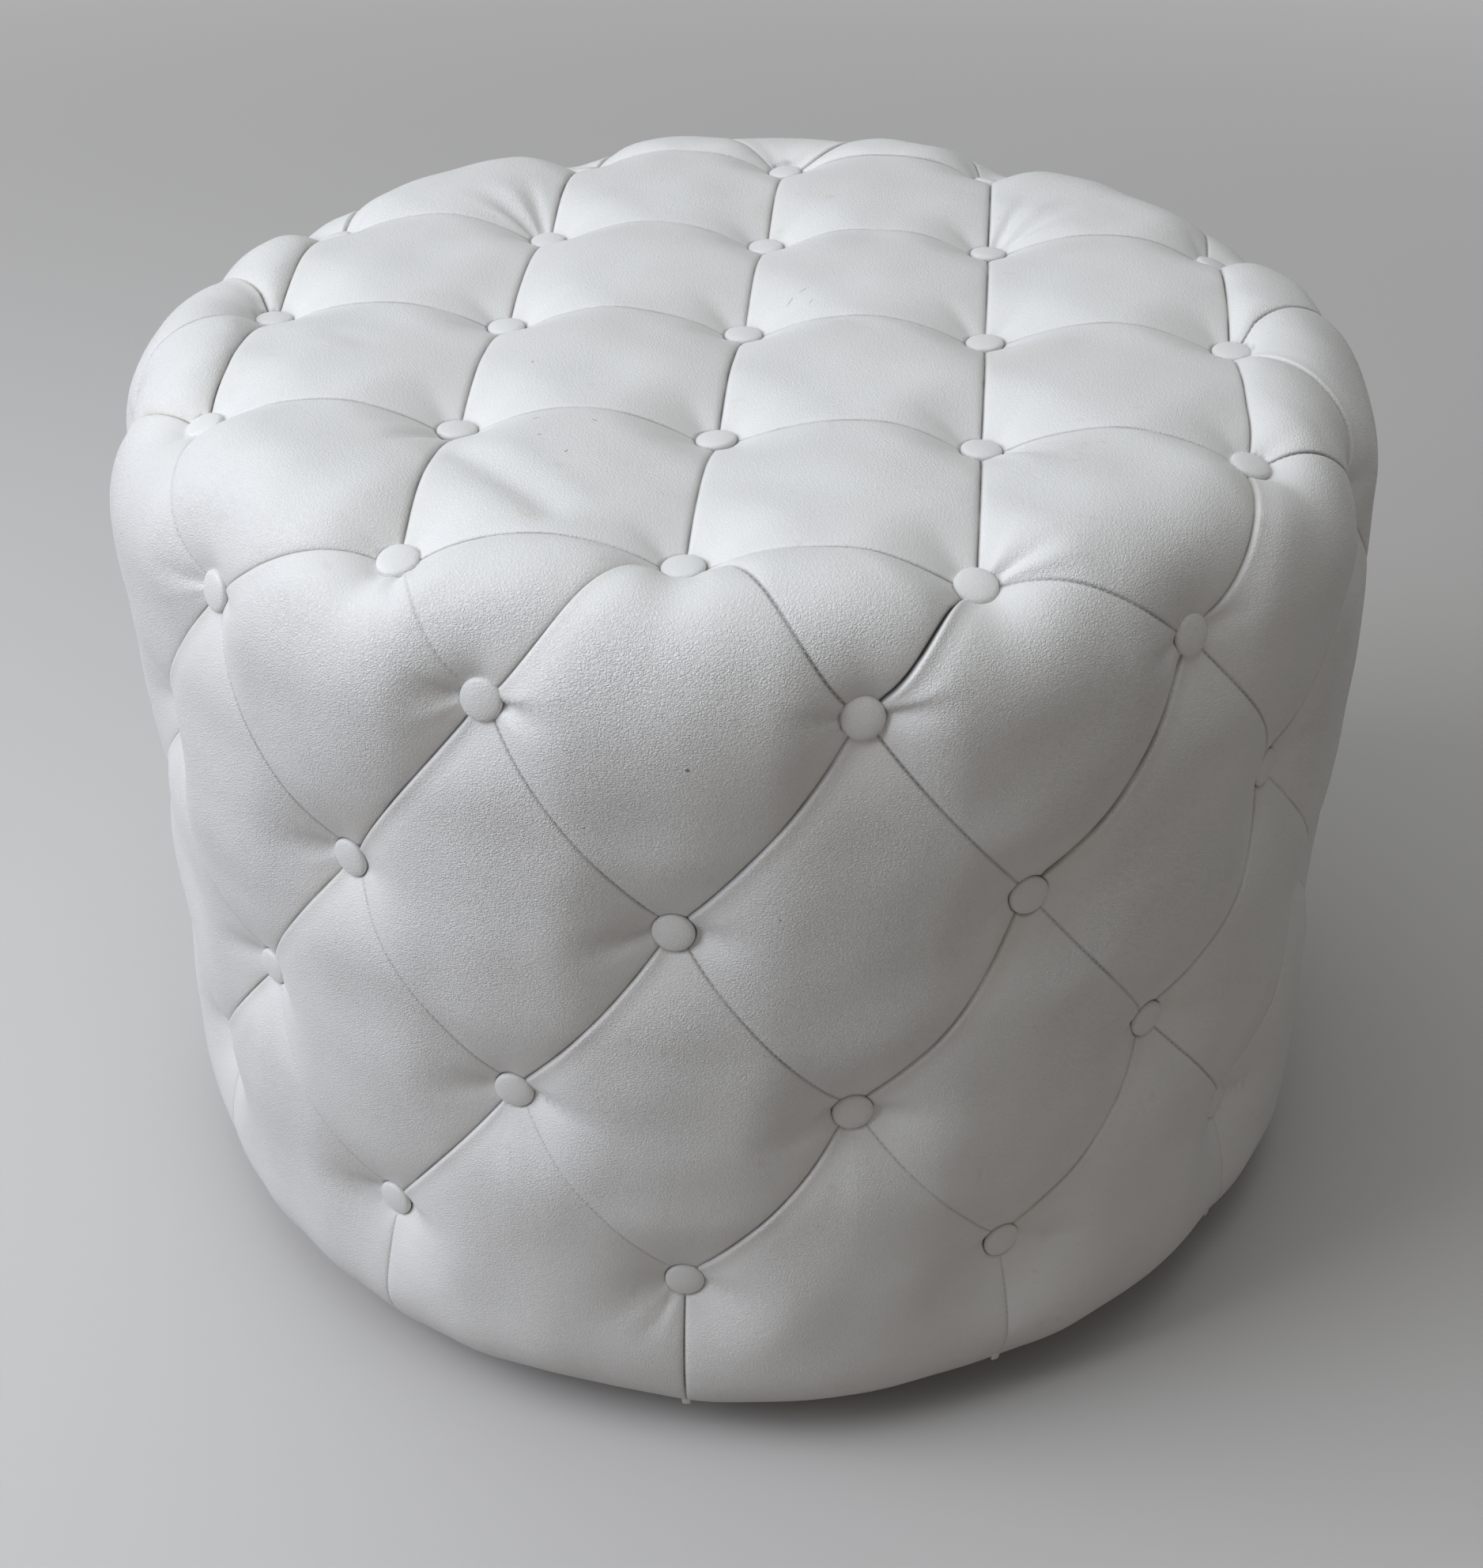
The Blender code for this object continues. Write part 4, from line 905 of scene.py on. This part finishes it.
threadMaterial, tree, place = newMaterial("sewing_thread")
twist = addNode(tree, "TexWave", {"Vector": place, "Scale": thread["twist"], "Distortion": 1.0})
twist = twist.outputs["Fac"]
tone = mix(tree, remap(tree, twist, 0.2, 0.9), thread["shade"], thread["colour"])
finishShader(tree, {"Base Color": tone, "Roughness": thread["roughness"]}, twist, 0.5, thread["relief"])
stitches = linkObject("seam_stitches", placeStitches())
dressPiece(stitches, "white_leatherette", threadMaterial)
print("stitches sewn:", len(stitches.data.polygons), "faces")


# Folded end of each upright seam, just below the hem
seamTab = {"size": (0.0052, 0.0014, 0.0095), "taper": (0.72, 0.8, 1), "bevel": 0.00042, "radius": 0.2900,
           "low": 0.0183, "tucked": 0.0036, "skew": (-8, 8), "lean": (-4, 8), "raised": (0, 0.0012),
           "aside": (-0.001, 0.001)}
tabRandom = random.Random(17)


def tabPlace(place):
    skew = rotation(tabRandom.uniform(*seamTab["skew"]), "Y")
    skew = rotation(tabRandom.uniform(*seamTab["lean"]), "X") @ skew
    middle = seamTab["low"] + tabRandom.uniform(*seamTab["raised"]) + seamTab["size"][2] / 2
    middle += 0 if place == drawn["openUpright"] else seamTab["tucked"]
    move = Matrix.Translation((tabRandom.uniform(*seamTab["aside"]), -seamTab["radius"], middle))
    return Matrix.Rotation(divisionAngle(place), 4, "Z") @ move @ skew


oneTab = bevelledBox(seamTab["size"], seamTab["bevel"], 2, seamTab["taper"])
seamTabs = joinCopies("seam_tabs", [placedCopy(oneTab, tabPlace(place)) for place in range(divisions)])
dressPiece(linkObject("seam_tabs", seamTabs), "white_leatherette", buttonLeather)


# Covered buttons, modelled once and copied to every place; the rings give rise and scale of each step
coveredButton = {"radius": 0.0091 / 1.07, "sides": 32, "shank": 0.0016, "shankLength": 0.0022,
                 "rowShank": 0.0045, "tilt": (-4, 4),
                 "rings": ((0.0006, 1.055), (0.0009, 1.015), (0.0009, 0.985), (0.0007, 0.94), (0.0005, 0.86),
                           (0.0004, 0.74), (0.0003, 0.60), (0.0001, 0.40))}
twine = {"radius": 0.2810, "thickness": 0.0020}
tiltRandom = random.Random(8)


def buttonShape(shankLength):
    obj = startShape(bpy.ops.mesh.primitive_circle_add, vertices=coveredButton["sides"],
                     radius=coveredButton["radius"], fill_type="NGON")
    bpy.ops.mesh.select_all(action="SELECT")
    for rise, scale in coveredButton["rings"]:
        bpy.ops.mesh.extrude_region_move(TRANSFORM_OT_translate={"value": (0, 0, rise)})
        bpy.ops.transform.resize(value=(scale, scale, 1), center_override=(0, 0, 0))
    bpy.ops.mesh.merge(type="CENTER")
    selectFaces(obj, lambda face: abs(face.calc_center_median().z) < 1e-6 and len(face.verts) > 4)
    bpy.ops.mesh.inset(thickness=coveredButton["radius"] - coveredButton["shank"])
    bpy.ops.mesh.extrude_region_move(TRANSFORM_OT_translate={"value": (0, 0, -shankLength)})
    bpy.ops.mesh.select_all(action="SELECT")
    bpy.ops.mesh.normals_make_consistent(inside=False)
    return endShape(obj, smoothing=1)


def buttonPlace(key):
    crown, direction = (Vector(part) for part in crownAt(key))
    tilt = rotation(tiltRandom.uniform(*coveredButton["tilt"]), "X")
    tilt = tilt @ rotation(tiltRandom.uniform(*coveredButton["tilt"]), "Y")
    spin = Matrix.Rotation(tiltRandom.uniform(0, 6.28), 4, "Z")
    turn = Vector((0, 0, 1)).rotation_difference(direction).to_matrix().to_4x4()
    return Matrix.Translation(crown - direction * drum["buttonBack"]) @ turn @ tilt @ spin


singleShape = buttonShape(coveredButton["shankLength"])
rowShape = buttonShape(coveredButton["rowShank"])
singleButtons = {f"top_button_{number:02d}": key for number, key in enumerate(topKeys, 1)}
singleButtons.update({f"shoulder_button_{place + 1:02d}": sideKey(0, place) for place in range(divisions)})
for name, key in singleButtons.items():
    button = linkObject(name + "_covered", placedCopy(singleShape, buttonPlace(key)))
    dressPiece(button, "button_leatherette", buttonLeather, name)
for row, name in ((1, "upper_button_row"), (2, "middle_button_row"), (3, "lower_button_row")):
    ring = endShape(startShape(bpy.ops.mesh.primitive_torus_add, major_segments=96, minor_segments=8,
                               major_radius=twine["radius"], minor_radius=twine["thickness"] / 2))
    ring.transform(Matrix.Translation((0, 0, drum["rows"][row])))
    copies = [placedCopy(rowShape, buttonPlace(sideKey(row, place))) for place in range(divisions)]
    buttonRow = linkObject(name + "_covered", joinCopies(name + "_covered", [ring, *copies]))
    dressPiece(buttonRow, "button_leatherette", buttonLeather, name)
print("buttons made")


# Foam under the cover: a crowned block on the seat board and a band glued round the wall
foamBlock = {"radius": 0.2790, "low": 0.3746, "high": 0.4215, "shoulder": 0.047, "edge": 0.004,
             "segments": 144, "dimple": 0.0030, "dimpleWidth": 0.011}
foamBand = {"inner": 0.2497, "outer": 0.2770, "low": 0.0390, "high": 0.3740, "edge": 0.003, "segments": 288,
            "dimple": 0.0022, "dimpleWidth": 0.012, "joint": 0.0016, "jointWidth": 0.003}
foam = {"colour": (0.80, 0.70, 0.44), "soiled": (0.72, 0.63, 0.396), "dark": (0.66, 0.54, 0.30),
        "cell": 0.0016, "relief": 0.0006, "roughness": 0.95}


def turnedMesh(name, profile, segments, closed):
    # A profile of (radius, height) turned round the drum's axis; its ends lie on the axis unless closed
    angles = np.arange(segments) * 2 * math.pi / segments
    vertices = np.concatenate([polar(radius, angles, height) for radius, height in profile]).tolist()
    polygons = []
    count = len(profile)
    for ring in range(count if closed else count - 1):
        low, high = ring * segments, (ring + 1) % count * segments
        polygons.extend((low + k, low + (k + 1) % segments, high + (k + 1) % segments, high + k)
                        for k in range(segments))
    if not closed:
        vertices.extend([(0, 0, profile[0][1]), (0, 0, profile[-1][1])])
        first, last = len(vertices) - 2, (count - 1) * segments
        polygons.extend((first, (k + 1) % segments, k) for k in range(segments))
        polygons.extend((first + 1, last + k, last + (k + 1) % segments) for k in range(segments))
    return closedMesh(name, vertices, polygons)


def arc(centreRadius, centreHeight, size, start, end, count):
    turns = [math.radians(start + (end - start) * k / count) for k in range(count + 1)]
    return [(centreRadius + size * math.cos(turn), centreHeight + size * math.sin(turn)) for turn in turns]


def pressDimples(mesh, centres, piece, inward):
    for vertex in mesh.vertices:
        press = sum(math.exp(-(vertex.co - centre).length_squared / piece["dimpleWidth"] ** 2)
                    for centre in centres)
        vertex.co += inward(vertex.co) * piece["dimple"] * min(press, 1)


def towardsAxis(place):
    flat = math.hypot(place.x, place.y)
    outside = flat > (foamBand["inner"] + foamBand["outer"]) / 2
    return Vector((-place.x, -place.y, 0)) / flat if outside else Vector((0, 0, 0))


edge, shoulder, low, high = (foamBlock[name] for name in ("edge", "shoulder", "low", "high"))
straight, crowned = foamBlock["radius"] - edge, foamBlock["radius"] - shoulder
profile = [(radius, low) for radius in np.linspace(0.01, straight, 12)]
profile += arc(straight, low + edge, edge, -90, 0, 4)[1:]
profile += arc(crowned, high - shoulder, shoulder, 0, 90, 12)
profile += [(radius, high) for radius in np.linspace(crowned, 0.01, 60)[1:]]
seatFoam = turnedMesh("seat_foam_block", profile, foamBlock["segments"], False)
pressed = [Vector((key[1] * drum["gridPitch"], key[2] * drum["gridPitch"], high)) for key in topKeys]
pressDimples(seatFoam, pressed, foamBlock, lambda place: Vector((0, 0, -1)))

edge, outer, low, high = (foamBand[name] for name in ("edge", "outer", "low", "high"))
profile = arc(outer - edge, low + edge, edge, -90, 0, 3)
profile += [(outer, height) for height in np.linspace(low + edge, high - edge, 84)[1:-1]]
profile += arc(outer - edge, high - edge, edge, 0, 90, 3)
profile += [(foamBand["inner"], high), (foamBand["inner"], low)]
sideFoam = turnedMesh("side_foam_band", profile, foamBand["segments"], True)
pressed = [Vector(polar(outer, buttonAngle(row, place), drum["rows"][row]))
           for row in (1, 2, 3) for place in range(divisions)]
pressDimples(sideFoam, pressed, foamBand, towardsAxis)
for vertex in sideFoam.vertices:
    # The glued butt joint at the back of the band
    press = math.exp(-(vertex.co.x / foamBand["jointWidth"]) ** 2) if vertex.co.y > 0 else 0.0
    vertex.co += towardsAxis(vertex.co) * foamBand["joint"] * press

foamMaterial, tree, place = newMaterial("cut_foam")
holes = remap(tree, cellsOf(tree, place, foam["cell"]), 0.1, 0.7, 1.0, 0.0)
tone = mix(tree, patches(tree, place, 12.0, 3.0), foam["colour"], foam["soiled"])
tone = mix(tree, maths(tree, "MULTIPLY", holes, 0.55), tone, foam["dark"])
finishShader(tree, {"Base Color": tone, "Roughness": foam["roughness"]}, holes, 0.8, foam["relief"],
             invert=True)
for mesh, node in ((seatFoam, "seat_foam"), (sideFoam, "side_foam")):
    piece = linkObject(mesh.name, mesh)
    dressPiece(piece, "foam", foamMaterial, node)


# Dust cloth stapled under the bottom board
dustCloth = {"inner": 0.1503, "outer": 0.2770, "height": 0.02595, "thickness": 0.0004, "sag": 0.0007,
             "middleSlack": 0.6, "edgeSlack": 0.4, "segments": 288, "rings": 22, "outerStaples": 36,
             "innerStaples": 22, "black": (0.030, 0.030, 0.033), "worn": (0.065, 0.065, 0.070),
             "roughness": 0.85, "embossing": 1 / 700, "relief": 0.0002}


def clothHeight(radius, angle):
    # Pulled up at the staples, slack between them
    spanShare = (radius - dustCloth["inner"]) / (dustCloth["outer"] - dustCloth["inner"])
    slackOuter = 0.5 - 0.5 * np.cos(angle * dustCloth["outerStaples"])
    slackInner = 0.5 - 0.5 * np.cos(angle * dustCloth["innerStaples"])
    slack = slackOuter * spanShare ** 3 + slackInner * (1 - spanShare) ** 3
    slack = dustCloth["middleSlack"] * np.sin(math.pi * spanShare) + dustCloth["edgeSlack"] * slack
    return dustCloth["height"] - dustCloth["sag"] * slack


count = dustCloth["segments"]
angles = np.arange(count) * 2 * math.pi / count
radii = np.linspace(dustCloth["inner"], dustCloth["outer"], dustCloth["rings"])[:, None]
index = np.arange(dustCloth["rings"] * count).reshape(-1, count)
ahead = np.roll(index, -1, 1)
quads = np.stack((ahead[:-1], index[:-1], index[1:], ahead[1:]), -1).reshape(-1, 4)
vertices = polar(radii, angles, clothHeight(radii, angles)).reshape(-1, 3)
clothMesh = bpy.data.meshes.new("dust_cloth_under")
clothMesh.from_pydata(vertices.tolist(), [], quads.tolist())
cloth = linkObject("dust_cloth_under", clothMesh)
applyModifier(cloth, "cloth_thickness", "SOLIDIFY", thickness=dustCloth["thickness"], offset=0)
cloth.data.shade_smooth()

clothMaterial, tree, place = newMaterial("nonwoven_dust_cloth")
fibres = noise(tree, place, 900.0, 5.0, 0.75)
embossed = remap(tree, cellsOf(tree, place, dustCloth["embossing"]), 0.15, 0.35)
tone = mix(tree, remap(tree, fibres, 0.35, 0.7), dustCloth["black"], dustCloth["worn"])
relief = maths(tree, "ADD", maths(tree, "MULTIPLY", embossed, 0.6), fibres)
finishShader(tree, {"Base Color": tone, "Roughness": dustCloth["roughness"]}, relief, 0.7,
             dustCloth["relief"])
dressPiece(cloth, "dust_cloth", clothMaterial, "dust_cover")


# Zinc-plated steel, for the turntable, its screws and the staples
zinc = {"blue": (0.60, 0.62, 0.65), "yellow": (0.66, 0.64, 0.56), "dull": (0.42, 0.42, 0.43),
        "roughness": (0.22, 0.36), "relief": 0.0001}


def zincMaterial(name, brushed):
    material, tree, place = newMaterial(name)
    streaks = noise(tree, stretched(tree, place, (1.0, brushed, 1.0)), 420.0, 3.0)
    tint = mix(tree, patches(tree, place, 26.0, 4.0, roughness=0.6), zinc["blue"], zinc["yellow"])
    dulled = patches(tree, place, 70.0, 3.0, 0.55, 0.75, 0.0, 0.4)
    gloss = maths(tree, "ADD", remap(tree, streaks, 0.3, 0.7, *zinc["roughness"]),
                  maths(tree, "MULTIPLY", dulled, 0.3))
    colour = mix(tree, dulled, tint, zinc["dull"])
    finishShader(tree, {"Base Color": colour, "Roughness": gloss, "Metallic": 1.0}, streaks, 0.35,
                 zinc["relief"])
    return material


zincPlate = zincMaterial("zinc_plated_sheet", 0.08)
zincScrew = zincMaterial("zinc_plated_screw", 1.0)

staple = {"size": (0.0100, 0.0012, 0.0006), "bevel": 0.00018, "low": 0.02545, "onFlap": 0.02300,
          "outerRadius": 0.2725, "innerRadius": 0.1555, "twist": (-9, 9), "stray": (-0.0012, 0.0012)}
stapleRandom = random.Random(31)


def staplePlace(share, radius, low):
    twist = rotation(stapleRandom.uniform(*staple["twist"]), "Z")
    move = Matrix.Translation((0, -radius + stapleRandom.uniform(*staple["stray"]), low))
    return Matrix.Rotation(share * 2 * math.pi, 4, "Z") @ move @ twist


oneStaple = bevelledBox(staple["size"], staple["bevel"], 1)
copies = [placedCopy(oneStaple, staplePlace(number / count, radius, low))
          for count, radius, low in ((dustCloth["outerStaples"], staple["outerRadius"], staple["onFlap"]),
                                     (dustCloth["innerStaples"], staple["innerRadius"], staple["low"]))
          for number in range(count)]
staples = linkObject("dust_cloth_staples", joinCopies("dust_cloth_staples", copies))
dressPiece(staples, "zinc_steel", zincScrew)
across = 2 * dustCloth["outer"]
print("foam and dust cloth made")


# Finishes of the CAD parts that stay as they are
plywood = {"face": (0.66, 0.50, 0.32), "grain": (0.50, 0.35, 0.20), "ply": (0.42, 0.29, 0.17),
           "plyHeight": 0.0017, "plyEdge": (0.42, 0.58), "roughness": 0.62, "relief": 0.0002}
blackBoard = {"dark": (0.020, 0.019, 0.018), "light": (0.042, 0.038, 0.034), "scuffed": (0.10, 0.085, 0.07),
              "roughness": (0.45, 0.62), "relief": 0.0003}
plastic = {"colour": (0.018, 0.018, 0.019), "worn": (0.055, 0.053, 0.050), "roughness": (0.42, 0.58),
           "relief": 0.0001}


def plywoodMaterial():
    material, tree, place = newMaterial("birch_plywood")
    long = stretched(tree, place, (0.06, 1.0, 1.0))
    figure = addNode(tree, "TexWave", {"Vector": long, "Scale": 38.0, "Distortion": 7.0, "Detail": 3.0},
                     bands_direction="Y").outputs["Fac"]
    pores = noise(tree, long, 620.0, 2.0)
    colour = mix(tree, remap(tree, figure, 0.2, 0.9, 0.0, 0.55), plywood["face"], plywood["grain"])
    colour = mix(tree, remap(tree, pores, 0.60, 0.72, 0.0, 0.5), colour, plywood["ply"])
    # Sawn edges show the plies
    layer = maths(tree, "PINGPONG", upAxis(tree, place), plywood["plyHeight"])
    layer = remap(tree, layer, *(plywood["plyHeight"] * share for share in plywood["plyEdge"]))
    plies = mix(tree, layer, plywood["face"], plywood["ply"])
    upright = maths(tree, "ABSOLUTE", upAxis(tree, addNode(tree, "NewGeometry").outputs["Normal"]))
    colour = mix(tree, remap(tree, upright, 0.6, 0.8), plies, colour)
    finishShader(tree, {"Base Color": colour, "Roughness": plywood["roughness"]},
                 maths(tree, "ADD", pores, figure), 0.4, plywood["relief"])
    return material


def boardMaterial():
    material, tree, place = newMaterial("black_stained_board")
    grain = noise(tree, stretched(tree, place, (0.08, 1.0, 1.0)), 260.0, 4.0, 0.6)
    scuffed = patches(tree, place, 34.0, 5.0, 0.62, 0.75, 0.0, 0.45, roughness=0.7)
    colour = mix(tree, remap(tree, grain, 0.3, 0.7), blackBoard["dark"], blackBoard["light"])
    colour = mix(tree, scuffed, colour, blackBoard["scuffed"])
    gloss = remap(tree, grain, 0.3, 0.7, *blackBoard["roughness"])
    finishShader(tree, {"Base Color": colour, "Roughness": gloss}, grain, 0.4, blackBoard["relief"])
    return material


def glideMaterial():
    material, tree, place = newMaterial("moulded_black_plastic")
    stipple = noise(tree, place, 1300.0, 2.0)
    worn = patches(tree, place, 160.0, 3.0, 0.55, 0.75, 0.0, 0.6)
    colour = mix(tree, worn, plastic["colour"], plastic["worn"])
    gloss = remap(tree, stipple, 0.3, 0.7, *plastic["roughness"])
    finishShader(tree, {"Base Color": colour, "Roughness": gloss}, stipple, 0.4, plastic["relief"])
    return material


finishes = {"plywood": plywoodMaterial(), "black_board": boardMaterial(), "black_plastic": glideMaterial(),
            "zinc_steel": zincPlate}
slotOf = {part["node"]: part["material_slot"] for part in frame["record"]["subparts"]}
for node, obj in frame["nodes"].items():
    finish = finishes.get(slotOf.get(node))
    if finish is None:
        continue
    if "screw" in node or node in ("centre_pin", "ball_ring"):
        finish = zincScrew
    for slot in obj.material_slots:
        slot.material = finish
print("inner parts finished")


# Studio: plain pale floor and backdrop, one large soft light high on the left, weak fill
studio = {"floor": (0.58, 0.57, 0.56), "bounce": (0.29, 0.268, 0.245), "backdrop": (0.44, 0.44, 0.445, 1.0),
          "floorSize": 14, "roughness": 0.85, "fadeStart": 0.9, "fadeEnd": 2.6, "world": 0.152,
          "worldColour": (1.0, 0.99, 0.975, 1.0), "aim": (0, 0, 0.22)}
# Power, place, size and colour of each light
lights = {"window_light": (55.0, (-2.0, -0.80, 1.75), 1.8, (0.885, 0.915, 1.0)),
          "warm_room_light": (3.8, (1.2, -2.3, 0.75), 2.2, (1.0, 0.82, 0.66)),
          "overhead_light": (32.5, (-0.45, 0.05, 2.9), 3.0, (0.965, 1.0, 0.985))}


def seenDirectly(tree):
    path = addNode(tree, "LightPath").outputs
    seen = maths(tree, "MAXIMUM", path["Is Camera Ray"], path["Is Glossy Ray"])
    return maths(tree, "MAXIMUM", seen, path["Is Transmission Ray"])


floorMaterial, tree, place = newMaterial("pale_floor")
seen = seenDirectly(tree)
floorShader = tree.nodes["Principled BSDF"]
floorShader.inputs["Roughness"].default_value = studio["roughness"]
feed(tree, floorShader.inputs["Base Color"], mix(tree, seen, studio["bounce"], studio["floor"]))
# Far from the stool the floor runs out into the plain backdrop
farAway = remap(tree, vectorMaths(tree, "LENGTH", place), studio["fadeStart"], studio["fadeEnd"])
backdrop = addNode(tree, "Emission", {"Color": studio["backdrop"]})
merged = addNode(tree, "MixShader", {0: maths(tree, "MULTIPLY", farAway, seen), 1: floorShader.outputs[0],
                                     2: backdrop.outputs[0]})
feed(tree, tree.nodes["Material Output"].inputs["Surface"], merged.outputs[0])
bpy.ops.object.select_all(action="DESELECT")
bpy.ops.mesh.primitive_plane_add(size=studio["floorSize"], location=(0, 0, 0))
floor = bpy.context.object
floor.name = "pale_floor"
floor.data.materials.append(floorMaterial)

scene.world = bpy.data.worlds.new("soft_room")
scene.world.use_nodes = True
tree = scene.world.node_tree
background = tree.nodes["Background"]
background.inputs["Color"].default_value = studio["worldColour"]
background.inputs["Strength"].default_value = studio["world"]
distant = addNode(tree, "Background", {"Color": studio["backdrop"]})
merged = addNode(tree, "MixShader", {0: seenDirectly(tree), 1: background.outputs[0], 2: distant.outputs[0]})
feed(tree, tree.nodes["World Output"].inputs["Surface"], merged.outputs[0])

for name, (power, place, size, colour) in lights.items():
    data = bpy.data.lights.new(name, "AREA")
    data.energy = power
    data.size = size
    data.color = colour
    lamp = linkObject(name, data)
    lamp.location = place
    lamp.rotation_euler = (Vector(studio["aim"]) - Vector(place)).to_track_quat("-Z", "Y").to_euler()
scene.view_settings.view_transform = "Standard"

print("scene ready")
